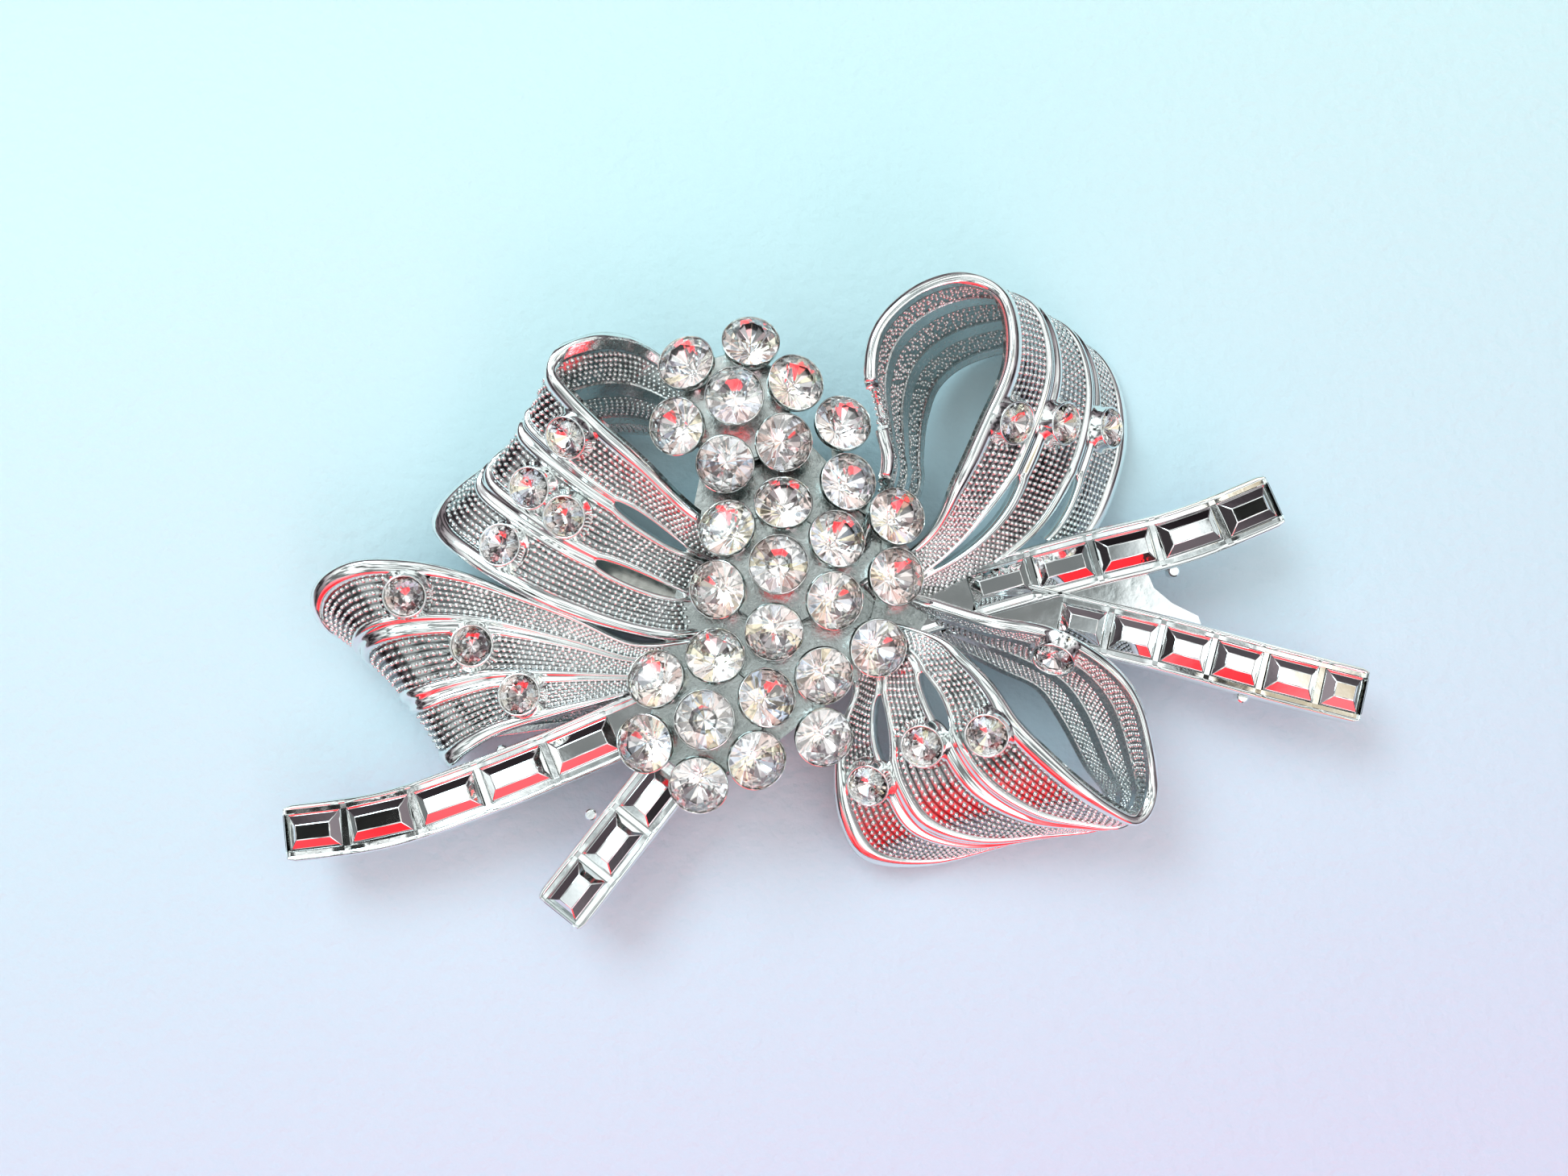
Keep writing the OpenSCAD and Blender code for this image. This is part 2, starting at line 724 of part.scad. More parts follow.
hub();
loop_upper_left();
loop_upper_right();
loop_lower_left();
loop_lower_right();
tail_left();
tail_bottom();
tail_upper_right();
tail_lower_right();
baguettes(tail_left_data);  // baguettes_left
baguettes(tail_bottom_data);  // baguettes_bottom
baguettes(tail_upper_right_data);  // baguettes_upper_right
baguettes(tail_lower_right_data);  // baguettes_lower_right
accents(loop_upper_left_data);  // accents_upper_left
accents(loop_upper_right_data);  // accents_upper_right
accents(loop_lower_left_data);  // accents_lower_left
accents(loop_lower_right_data);  // accents_lower_right
floret_casting(0);  // floret_upper
floret_casting(1);  // floret_middle
floret_casting(2);  // floret_lower
side_spray_casting();  // side_spray
pin_bar();
bar_rivets();
joint_bracket();
hinge_rivet();
pin_stem();
catch_housing();
catch_rotor();
for (k = [0:27])
    cluster_stone(k);
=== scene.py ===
# %% [markdown]
# A ribbon spray brooch, cast in white metal, plated bright and set with clear glass stones.
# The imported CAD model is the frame: it fixes every size and place, in metres, and this lesson
# dresses it. Pieces whose shape is already right keep their CAD mesh and get a finish. The
# ribbons, tails, cups and stones are rebuilt here with the relief and facets of the real ones.

# %% Load the frame
import math
import bpy
import numpy as np
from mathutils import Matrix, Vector


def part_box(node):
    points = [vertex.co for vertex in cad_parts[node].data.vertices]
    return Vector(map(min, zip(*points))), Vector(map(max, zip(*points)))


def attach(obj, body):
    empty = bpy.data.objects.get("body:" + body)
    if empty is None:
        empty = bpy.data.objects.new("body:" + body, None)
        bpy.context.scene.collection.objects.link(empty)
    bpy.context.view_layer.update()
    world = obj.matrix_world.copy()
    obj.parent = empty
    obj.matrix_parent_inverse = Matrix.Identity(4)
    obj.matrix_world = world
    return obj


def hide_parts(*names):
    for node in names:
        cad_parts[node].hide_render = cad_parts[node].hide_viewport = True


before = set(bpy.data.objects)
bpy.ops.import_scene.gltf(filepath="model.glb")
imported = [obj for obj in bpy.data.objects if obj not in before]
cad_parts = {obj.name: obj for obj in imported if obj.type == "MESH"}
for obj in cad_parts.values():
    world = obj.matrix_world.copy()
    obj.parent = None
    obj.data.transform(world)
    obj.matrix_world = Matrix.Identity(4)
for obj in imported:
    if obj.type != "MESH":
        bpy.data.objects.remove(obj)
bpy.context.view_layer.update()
MM = 0.001

# %% [markdown]
# The camera looks down on the brooch from about 11 cm, leaning a little from the front, as a
# phone is held over a small thing on a desk. Lens and distance together set the
# perspective: this close, the tall loops lean outwards from the middle.

# %% Camera
camera_data = bpy.data.cameras.new("camera")
camera = bpy.data.objects.new("camera", camera_data)
bpy.context.scene.collection.objects.link(camera)
camera_data.sensor_width = 36
camera_data.lens = 31.17
camera_data.clip_start = 0.005
camera.location = Vector((-3.4, -8.8, 112)) * MM
aim = Vector((-3.4, 2.2, 0)) * MM
camera.rotation_euler = (aim - camera.location).to_track_quat("-Z", "Y").to_euler()
bpy.context.scene.camera = camera
print("camera", round((aim - camera.location).length / MM), "mm from what it aims at")

# %% [markdown]
# Colours are written as sRGB hex values, the way a swatch book gives them. Blender's shaders
# work in linear light, so one function converts them. One more function adds a shader node,
# sets its values and makes its links, which keeps each material down to a short list.

# %% Colour and node helpers
def linear(hex_colour):
    channels = [int(hex_colour[i:i + 2], 16) / 255 for i in (1, 3, 5)]
    return tuple(c / 12.92 if c <= 0.04045 else ((c + 0.055) / 1.055) ** 2.4
                 for c in channels) + (1.0,)


def add(tree, kind, settings=None, values=None, links=None):
    node = tree.nodes.new(kind)
    for key, value in (settings or {}).items():
        setattr(node, key, value)
    for key, value in (values or {}).items():
        node.inputs[key].default_value = value
    for key, source in (links or {}).items():
        tree.links.new(source, node.inputs[key])
    return node


def ramp(tree, factor, stops):
    node = add(tree, "ShaderNodeValToRGB", links={"Fac": factor})
    while len(node.color_ramp.elements) < len(stops):
        node.color_ramp.elements.new(0.5)
    for element, (place, colour) in zip(node.color_ramp.elements, stops):
        element.position = place
        element.color = linear(colour)
    return node.outputs["Color"]


def new_finish(name):
    material = bpy.data.materials.new(name)
    material.use_nodes = True
    tree = material.node_tree
    tree.nodes.clear()
    shader = add(tree, "ShaderNodeBsdfPrincipled")
    add(tree, "ShaderNodeOutputMaterial", links={"Surface": shader.outputs["BSDF"]})
    place = add(tree, "ShaderNodeTexCoord").outputs["Object"]
    return material, tree, shader, place


print("linear mid grey:", round(linear("#808080")[0], 3))

# %% [markdown]
# Rhodium-coloured plate over cast white metal. Plating keeps the surface under it: rims that
# were tumbled come out like a mirror with faint ripples, and the skin of the mould stays as
# grain a quarter of a millimetre across. One recipe serves them all: noise at the real grain
# size drives the bump and the roughness, and a second, slow noise shifts the tone. In the
# grooves a value kept on each point of the mesh darkens the colour towards a grey: painted
# shade, where the hollows between the cords fall in shadow.

# %% Plated finishes
def plated_finish(name, bright, dull, rough_low, rough_high, grain_mm, bump_mm, groove_shade=None):
    material, tree, shader, place = new_finish(name)
    shader.inputs["Metallic"].default_value = 1.0
    grain = add(tree, "ShaderNodeTexNoise", values={"Scale": 1 / (grain_mm * MM), "Detail": 3.0},
                links={"Vector": place}).outputs["Fac"]
    drift = add(tree, "ShaderNodeTexNoise", values={"Scale": 1 / (6 * MM), "Detail": 2.0},
                links={"Vector": place}).outputs["Fac"]
    rough = add(tree, "ShaderNodeMapRange", links={"Value": grain},
                values={"From Min": 0.3, "From Max": 0.7, "To Min": rough_low, "To Max": rough_high})
    tree.links.new(rough.outputs["Result"], shader.inputs["Roughness"])
    tone = ramp(tree, drift, [(0.35, bright), (0.75, dull)])
    # Painted shade: where the per-point weight is high, the colour mixes towards the given grey.
    if groove_shade:
        groove_shade_weight = add(tree, "ShaderNodeAttribute", {"attribute_name": "groove_shade"}).outputs["Fac"]
        tone = add(tree, "ShaderNodeMix", {"data_type": "RGBA"}, {7: linear(groove_shade)},
                   {0: groove_shade_weight, 6: tone}).outputs[2]
    tree.links.new(tone, shader.inputs["Base Color"])
    bump = add(tree, "ShaderNodeBump", values={"Strength": 0.6, "Distance": bump_mm * MM},
               links={"Height": grain})
    tree.links.new(bump.outputs["Normal"], shader.inputs["Normal"])
    return material


bright_plate = plated_finish("rhodium_plate_polished", "#F4F6F5", "#E3E9E8", 0.04, 0.12, 1.2, 0.012)
# The beaded and the sand-cast plates darken to these greys in their grooves: painted shade for the
# hollows.
beaded_plate = plated_finish("rhodium_plate_beaded_casting", "#FAFBFA", "#E6ECEA", 0.05, 0.15,
                             0.5, 0.02, groove_shade="#34373B")
sandy_plate = plated_finish("rhodium_plate_sand_cast", "#F2F5F4", "#D3DAD8", 0.14, 0.32, 0.28,
                            0.06, groove_shade="#737C79")
cup_plate = plated_finish("rhodium_plate_stamped_cups", "#EEF1EF", "#CBD1CE", 0.06, 0.16, 0.6, 0.012)
# Painted shade: the hub and the plates behind the cups are a darker grey, for the shadow in the gaps
# between the cups.
shaded_back_plate = plated_finish("hub_casting_plate_darkened_as_shade", "#C6CCCA", "#9DA4A1", 0.12, 0.28, 0.35, 0.04)
finding_plate = plated_finish("nickel_plate_rolled_brass", "#D8D8D2", "#BEBFB8", 0.12, 0.26, 0.5, 0.01)
pin_steel = plated_finish("drawn_steel_wire_polished", "#D2D5D8", "#B9BDC1", 0.1, 0.2, 0.3, 0.006)
print("plated finishes:", [m.name for m in bpy.data.materials if "plate" in m.name])

# %% [markdown]
# The round stones are machine-cut glass with a foiled back. Light goes in through the clear
# crown, strikes the mirror foil behind the pavilion and comes out in flashes. Glass alone
# would show the cup behind it, so each stone is one closed mesh with two finishes: clear glass
# on crown and girdle, thin metal foil on the pavilion. Lead glass splits white light a little;
# the path tracer doesn't, so each foil facet carries its own slight tint: rose, straw, ice
# or clear.

# %% Stone finishes
glass, glass_tree, glass_shader, glass_place = new_finish("lead_glass_polished")
for socket, value in {"Roughness": 0.0, "IOR": 1.56, "Transmission Weight": 1.0,
                      "Base Color": linear("#FFFFFF")}.items():
    glass_shader.inputs[socket].default_value = value
glass_wave = add(glass_tree, "ShaderNodeTexNoise", values={"Scale": 1 / (2.5 * MM)},
                 links={"Vector": glass_place})
glass_bump = add(glass_tree, "ShaderNodeBump", values={"Strength": 0.25, "Distance": 0.01 * MM},
                 links={"Height": glass_wave.outputs["Fac"]})
glass_tree.links.new(glass_bump.outputs["Normal"], glass_shader.inputs["Normal"])

foil, foil_tree, foil_shader = new_finish("silver_foil_back")[:3]
foil_shader.inputs["Metallic"].default_value = 1.0
foil_shader.inputs["Roughness"].default_value = 0.09
foil_tint = add(foil_tree, "ShaderNodeAttribute", {"attribute_name": "tint"}).outputs["Fac"]
foil_colour = ramp(foil_tree, foil_tint, [
    (0.0, "#FFFFFF"), (0.24, "#FCF8F7"), (0.34, "#DFC6BE"), (0.4, "#FFFFFF"),
    (0.6, "#F4E6E1"), (0.74, "#FFFFFF"), (0.86, "#E8EEFA"), (0.95, "#FAF1D8")])
foil_tree.links.new(foil_colour, foil_shader.inputs["Base Color"])

baguette_foil = plated_finish("mirror_foiled_baguette_glass", "#F7F8F7", "#E4E9EA", 0.015, 0.06,
                              1.6, 0.006)
baguette_shader = baguette_foil.node_tree.nodes["Principled BSDF"]
baguette_shader.inputs["Coat Weight"].default_value = 1.0
baguette_shader.inputs["Coat Roughness"].default_value = 0.02
print("stone finishes:", glass.name, foil.name, baguette_foil.name)

# %% [markdown]
# The floor is a sheet of drawing paper. Its tooth is about a millimetre across, and the
# window light that falls on it turns from cool at the top left to a faint rose at the bottom
# right. The sheet is large enough to fill every view.
# Seen from below it is clear, so that the pin finding can be inspected from behind.

# %% Paper floor
paper, paper_tree, paper_shader, paper_place = new_finish("drawing_paper")
paper_shader.inputs["Roughness"].default_value = 0.9
paper_shader.inputs["Specular IOR Level"].default_value = 0.2
# Painted light: a ramp paints the window light's drift into the paper's colour, cyan towards the top
# and lavender towards the bottom. The lamps add their own drift on top of it.
across_sheet = add(paper_tree, "ShaderNodeMapping", {"vector_type": "POINT"},
                   {"Location": (0, 0.5, 0), "Rotation": (0, 0, math.radians(-12)),
                    "Scale": (6, 6, 6)}, {"Vector": paper_place})
painted_light_slope = add(paper_tree, "ShaderNodeSeparateXYZ", links={"Vector": across_sheet.outputs["Vector"]})
paper_tree.links.new(ramp(paper_tree, painted_light_slope.outputs["Y"], [
    (0.2, "#DCE6FB"), (0.45, "#D9F1FC"), (0.8, "#DCFFFF")]), paper_shader.inputs["Base Color"])
tooth = add(paper_tree, "ShaderNodeTexNoise", values={"Scale": 1 / (1.1 * MM), "Detail": 5.0},
            links={"Vector": paper_place})
paper_bump = add(paper_tree, "ShaderNodeBump", values={"Strength": 0.9, "Distance": 0.22 * MM},
                 links={"Height": tooth.outputs["Fac"]})
paper_tree.links.new(paper_bump.outputs["Normal"], paper_shader.inputs["Normal"])


below = add(paper_tree, "ShaderNodeNewGeometry").outputs["Backfacing"]
clear = add(paper_tree, "ShaderNodeBsdfTransparent")
sheet = add(paper_tree, "ShaderNodeMixShader", links={0: below, 1: paper_shader.outputs["BSDF"],
                                                      2: clear.outputs["BSDF"]})
paper_tree.links.new(sheet.outputs["Shader"],
                     paper_tree.nodes["Material Output"].inputs["Surface"])

floor_mesh = bpy.data.meshes.new("paper_floor")
half = 0.9
floor_mesh.from_pydata([(-half, -half, 0), (half, -half, 0), (half, half, 0), (-half, half, 0)],
                       [], [(0, 1, 2, 3)])
floor_mesh.materials.append(paper)
floor = bpy.data.objects.new("paper_floor", floor_mesh)
bpy.context.scene.collection.objects.link(floor)
print("paper sheet", 2 * half, "m wide")

# %% [markdown]
# Polished metal shows the room more than itself. The room here is a pale sky with broad soft
# shapes in it, bright overhead and dim towards the horizon, so that curved rims get a dark
# line beside each highlight. Seen directly, the room is a plain pale wall. A big cool softbox
# stands for the window at the top left. A red card low in front gives the faces that lean that
# way their red lights, and a small blue and a straw-coloured card do the same on the right. Two
# black flags, which only reflections see, put a dark note in the flats of the tails' tips.

# %% Room and lamps
world = bpy.data.worlds.new("room")
bpy.context.scene.world = world
world.use_nodes = True
room = world.node_tree
room.nodes.clear()
direction = add(room, "ShaderNodeTexCoord").outputs["Generated"]
height = add(room, "ShaderNodeSeparateXYZ", links={"Vector": direction}).outputs["Z"]
sky = ramp(room, height, [(0.0, "#8C8489"), (0.2, "#443B40"), (0.45, "#90868B"),
                          (0.72, "#F8FCFB"), (1.0, "#FBFFFF")])
shapes = add(room, "ShaderNodeTexNoise", values={"Scale": 4.2, "Detail": 2.0},
             links={"Vector": direction}).outputs["Fac"]
patches = ramp(room, shapes, [(0.41, "#262A2B"), (0.46, "#A9AFB1"), (0.5, "#FFFFFF")])
mixed = add(room, "ShaderNodeMix", {"data_type": "RGBA", "blend_type": "MULTIPLY"}, {0: 0.85},
            {6: sky, 7: patches}).outputs[2]
glow = add(room, "ShaderNodeBackground", values={"Strength": 1.4}, links={"Color": mixed})
plain = add(room, "ShaderNodeBackground", values={"Color": linear("#DCE9EE")})
seen = add(room, "ShaderNodeLightPath").outputs["Is Camera Ray"]
backdrop = add(room, "ShaderNodeMixShader", links={0: seen, 1: glow.outputs["Background"],
                                                   2: plain.outputs["Background"]})
add(room, "ShaderNodeOutputWorld", links={"Surface": backdrop.outputs["Shader"]})


def lamp(name, place_mm, size_mm, colour, radiance, aim_mm=(0, 0, 6)):
    data = bpy.data.lights.new(name, "AREA")
    data.shape = "RECTANGLE"
    data.size, data.size_y = size_mm[0] * MM, size_mm[1] * MM
    data.color = linear(colour)[:3]
    data.energy = radiance * math.pi * data.size * data.size_y
    light = bpy.data.objects.new(name, data)
    light.location = Vector(place_mm) * MM
    way = (Vector(aim_mm) - Vector(place_mm)).normalized()
    light.rotation_euler = way.to_track_quat("-Z", "Y").to_euler()
    bpy.context.scene.collection.objects.link(light)
    return light


lamp("window_softbox", (-240, 260, 420), (300, 240), "#DDF7FF", 5.2)
lamp("rose_fill", (160, -330, 330), (260, 160), "#FFCEDA", 1.6)
lamp("red_card", (-20, -300, 110), (460, 150), "#E0101A", 2.6)
lamp("blue_card", (112, 14, 296), (20, 34), "#16307C", 0.5)
lamp("straw_card", (168, 4, 282), (70, 90), "#D9BE92", 0.75)


def flag(name, place_mm, size_mm):
    mesh = bpy.data.meshes.new(name)
    x, y = size_mm[0] / 2 * MM, size_mm[1] / 2 * MM
    mesh.from_pydata([(-x, -y, 0), (x, -y, 0), (x, y, 0), (-x, y, 0)], [], [(0, 1, 2, 3)])
    mesh.materials.append(flag_cloth)
    cloth = bpy.data.objects.new(name, mesh)
    cloth.location = Vector(place_mm) * MM
    cloth.rotation_euler = (-cloth.location).to_track_quat("Z", "Y").to_euler()
    bpy.context.scene.collection.objects.link(cloth)
    cloth.visible_camera = cloth.visible_shadow = cloth.visible_diffuse = False


flag_cloth, _, flag_shader, _ = new_finish("black_flag_cloth")
flag_shader.inputs["Base Color"].default_value = linear("#20211C")
flag_shader.inputs["Roughness"].default_value = 1.0
flag("flag_left", (-136, -44, 290), (64, 60))
flag("flag_right", (146, 60, 284), (40, 60))
bpy.context.scene.view_settings.view_transform = "Standard"

# %% [markdown]
# Every rebuilt piece goes through one function. It takes points in millimetres, faces, the
# finishes and the finish of each face, turns the points to metres, shades smooth except across
# sharp edges, and lets the piece ride its body and stand for its CAD node. Another swaps a
# modifier for the plain mesh it makes.

# %% Piece helper
def piece(name, points, faces, finishes, face_finish=None, values=None, sharp=35,
          nodes=()):
    mesh = bpy.data.meshes.new(name)
    mesh.from_pydata((np.asarray(points, float) * MM).tolist(), [], [tuple(f) for f in faces])
    for finish in finishes:
        mesh.materials.append(finish)
    if face_finish is not None:
        mesh.polygons.foreach_set("material_index", np.asarray(face_finish, np.int32))
    for key, (domain, numbers) in (values or {}).items():
        attribute = mesh.attributes.new(key, "FLOAT", domain)
        attribute.data.foreach_set("value", np.asarray(numbers, np.float32))
    mesh.shade_smooth()
    mesh.set_sharp_from_angle(angle=math.radians(sharp))
    mesh.update()
    made = bpy.data.objects.new(name, mesh)
    bpy.context.scene.collection.objects.link(made)
    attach(made, "brooch")
    if nodes:
        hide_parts(*nodes)
    return made


def applied(made, modifier):
    depsgraph = bpy.context.evaluated_depsgraph_get()
    result = bpy.data.meshes.new_from_object(made.evaluated_get(depsgraph))
    made.modifiers.remove(modifier)
    made.data = result
    return made


def merged(parts):
    points, faces = [], []
    for part_points, part_faces in parts:
        start = sum(len(p) for p in points)
        points.append(np.asarray(part_points, float))
        faces += [tuple(i + start for i in f) for f in part_faces]
    return np.concatenate(points), faces


# %% [markdown]
# The cluster has three seven-stone florets and a side spray of seven more. Each place is a
# point at the stone's girdle, a lean and the direction of the lean, in the same millimetres
# as the CAD model.

# %% Cluster places
stone_d = 4.1
cup_r = stone_d / 2 + 0.03 + 0.16
cup_h = 0.5 * stone_d
girdle = 0.46 * stone_d
crown = 0.24 * stone_d
pitch = 2 * cup_r + 0.35
petal_z = 10.9
florets = {"upper": ((-7.1, 15.3), 1.0, (18, 76, 141, 203, 261, 320)),
           "middle": ((-3.8, 2.7), 1.015, (26, 86, 143, 200, 266, 329)),
           "lower": ((-9.2, -8.7), 1.0, (20, 82, 141, 201, 264, 322))}
spray = [(1.1, 13.9, 40), (1.5, 9.35, 10), (5.2, 6.7, 20), (5.1, 2.1, 0), (3.7, -3.3, -35),
         (-0.4, -5.4, -60), (-0.4, -10, -50)]


def cup_axes(girdle_point, lean, turn):
    a, t = math.radians(lean), math.radians(turn)
    up = np.array((math.sin(a) * math.cos(t), math.sin(a) * math.sin(t), math.cos(a)))
    out = np.array((math.cos(a) * math.cos(t), math.cos(a) * math.sin(t), -math.sin(a)))
    return np.asarray(girdle_point) - girdle * up, out, np.cross(up, out), up


cups = {}
for name, (centre, reach, turns) in florets.items():
    cups[name] = [cup_axes((*centre, petal_z + 2), 0, 0)]
    for turn in turns:
        way = np.array((math.cos(math.radians(turn)), math.sin(math.radians(turn))))
        cups[name].append(cup_axes((*(np.array(centre) + reach * pitch * way), petal_z), 20, turn))
cups["side"] = [cup_axes((x, y, petal_z - 0.95), 18, turn) for x, y, turn in spray]
print("cups:", {name: len(places) for name, places in cups.items()})

# %% [markdown]
# A machine-cut round stone has an eight-sided table, eight star, eight kite and sixteen
# girdle facets on the crown, and a plain fan of facets on the pavilion. All the points lie on
# five rings, so a few sines place them, and the kites come out flat if the ring between table
# and girdle is set at the height where their planes pass. The stone is drawn a hair larger
# than the CAD one, to fill its bezel as a burnished-in stone does.

# %% Cut a round stone
def ring(count, radius, z, start=0.0):
    angles = [math.radians(start) + 2 * math.pi * k / count for k in range(count)]
    return [(radius * math.cos(a), radius * math.sin(a), z) for a in angles]


def cut_stone(r, low, girdle_z, crown_h):
    table_r, mid_r, culet_r, half_band = 0.5 * r, 0.76 * r, 0.03 * r, 0.05
    top = girdle_z + crown_h
    slant = math.cos(math.radians(22.5))
    mid_z = girdle_z + half_band + (crown_h - half_band) * (r - mid_r * slant) / (r - table_r)
    points = (ring(8, table_r, top) + ring(8, mid_r, mid_z, 22.5)
              + ring(16, r, girdle_z + half_band) + ring(16, r, girdle_z - half_band)
              + ring(8, culet_r, low))
    faces, foiled = [tuple(range(8))], [0]
    for k in range(8):
        n = (k + 1) % 8
        faces += [(k, 8 + k, n), (k, 8 + (k - 1) % 8, 16 + 2 * k, 8 + k),
                  (8 + k, 16 + 2 * k, 17 + 2 * k), (8 + k, 17 + 2 * k, 16 + (2 * k + 2) % 16)]
        foiled += [0] * 4
        faces += [(48 + k, 33 + 2 * k, 32 + 2 * k), (48 + k, 32 + (2 * k + 2) % 16, 33 + 2 * k),
                  (48 + k, 48 + n, 32 + (2 * k + 2) % 16)]
        foiled += [1] * 3
    for k in range(16):
        faces.append((16 + k, 32 + k, 32 + (k + 1) % 16, 16 + (k + 1) % 16))
        foiled.append(0)
    faces.append(tuple(range(55, 47, -1)))
    foiled.append(1)
    return np.array(points), faces, foiled


shown_r = stone_d / 2 + 0.09
shape, shape_faces, shape_foiled = cut_stone(shown_r, 0.37, girdle, crown)
print("a stone has", len(shape_faces), "facets,", sum(shape_foiled), "of them foiled")

# %% [markdown]
# A setter drops the stones in as they come, so each is turned by its own angle. The angles
# and the facet tints come from one seeded generator: the same every time the lesson runs.

# %% Set the cluster stones
dice = np.random.default_rng(7)


def placed_points(points, axes):
    base, out, side, up = axes
    return base + points[:, :1] * out + points[:, 1:2] * side + points[:, 2:3] * up


def turned(points, degrees):
    c, s = math.cos(math.radians(degrees)), math.sin(math.radians(degrees))
    return np.column_stack((points[:, 0] * c - points[:, 1] * s,
                            points[:, 0] * s + points[:, 1] * c, points[:, 2]))


for name, places in cups.items():
    for number, axes in enumerate(places, 1):
        points = placed_points(turned(shape, dice.uniform(0, 45)), axes)
        piece(f"cut_stone_{name}_{number}", points, shape_faces, [glass, foil], shape_foiled,
              {"tint": ("FACE", dice.uniform(0, 1, len(shape_faces)))}, sharp=2,
              nodes=[f"stone_{name}_{number}"])
print("cluster stones:", sum(len(p) for p in cups.values()))

# %% [markdown]
# Each cup is turned from one profile: a cone that meets the plate behind, a straight wall and
# a lip burnished over the girdle. Revolving the profile is the natural way to make it. The
# lip is rounded by three short steps, because a bezel shows mostly as the bright line along it.

# %% Turn the cups and their plates
def lathe(profile, count=40):
    points = [(r * math.cos(2 * math.pi * k / count), r * math.sin(2 * math.pi * k / count), z)
              for r, z in profile for k in range(count)]
    faces = []
    for i in range(len(profile) - 1):
        for k in range(count):
            n = (k + 1) % count
            faces.append((i * count + k, i * count + n, (i + 1) * count + n, (i + 1) * count + k))
    faces.append(tuple(range(count - 1, -1, -1)))
    last = (len(profile) - 1) * count
    faces.append(tuple(range(last, last + count)))
    return np.array(points), faces


seat_r = shown_r + 0.01
cup_profile = [(0.5 * cup_r, 0), (0.58 * cup_r, 0.02), (0.84 * cup_r, 0.42 * cup_h),
               (cup_r - 0.02, 0.74 * cup_h), (cup_r, 0.8 * cup_h), (cup_r, cup_h - 0.08),
               (cup_r - 0.02, cup_h - 0.02), (cup_r - 0.06, cup_h),
               (seat_r, cup_h - 0.03), (seat_r, girdle - 0.2), (0.3 * stone_d, 0.85),
               (0.12 * stone_d, 0.3)]
cup_points, cup_faces = lathe(cup_profile)


def post(x, y, low, high, r):
    points, faces = lathe([(r - 0.1, low), (r, low + 0.1), (r, high - 0.1), (r - 0.1, high)], 32)
    return points + np.array((x, y, 0)), faces


def bar_between(a, b, width, low, high):
    way = (b - a)[:2]
    long = np.linalg.norm(way)
    t = way / long
    s = np.array((-t[1], t[0]))
    flat = [a[:2] + t * x + s * y for x, y in ((0, -width / 2), (long, -width / 2),
                                               (long, width / 2), (0, width / 2))]
    points = [(*p, z) for z in (low, high) for p in flat]
    faces = [(3, 2, 1, 0), (4, 5, 6, 7), (0, 1, 5, 4), (1, 2, 6, 5), (2, 3, 7, 6), (3, 0, 4, 7)]
    return np.array(points), faces


def cup_casting(node, places, backing):
    parts = [(placed_points(cup_points, axes), cup_faces) for axes in places]
    shiny = len(parts) * len(cup_faces)
    points, faces = merged(parts + backing)
    # Cups take the bright plate; the plates, posts and bars behind them take the darkened back plate,
    # painted shade for the gaps between the cups.
    return piece(f"cup_{node}", points, faces, [cup_plate, shaded_back_plate],
                 [0] * shiny + [1] * (len(faces) - shiny), sharp=40, nodes=[node])


hub_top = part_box("hub")[1].z / MM
for name in florets:
    middle, petal = cups[name][0][0], cups[name][1][0]
    plate_top = petal[2] + 0.05
    plate_r = math.hypot(*(petal - middle)[:2]) + 0.1
    cup_casting(f"floret_{name}", cups[name],
                [post(*middle[:2], plate_top - 0.8, plate_top, plate_r),
                 post(*middle[:2], hub_top, plate_top - 0.4, 1.5),
                 post(*middle[:2], plate_top - 0.4, middle[2] + 0.05, 0.9)])
bases = [axes[0] for axes in cups["side"]]
cup_casting("side_spray", cups["side"],
            [bar_between(a, b, 0.9, a[2] - 0.75, a[2] + 0.1) for a, b in zip(bases, bases[1:])]
            + [post(bases[k][0] - 0.3, bases[k][1], hub_top, bases[k][2] + 0.1, 0.8)
               for k in (3, 4)])
print("cup casting", round(2 * cup_r, 2), "mm across each cup")

# %% [markdown]
# A ribbon is a band swept between a high edge and a low edge. Each edge is a smooth curve
# through its stations, a straight line joins them at every station, and the middle of the band
# sags a little, as bent sheet does. These are the CAD model's own rules and numbers, so the
# relief built on them here lands where the CAD ribbon is.

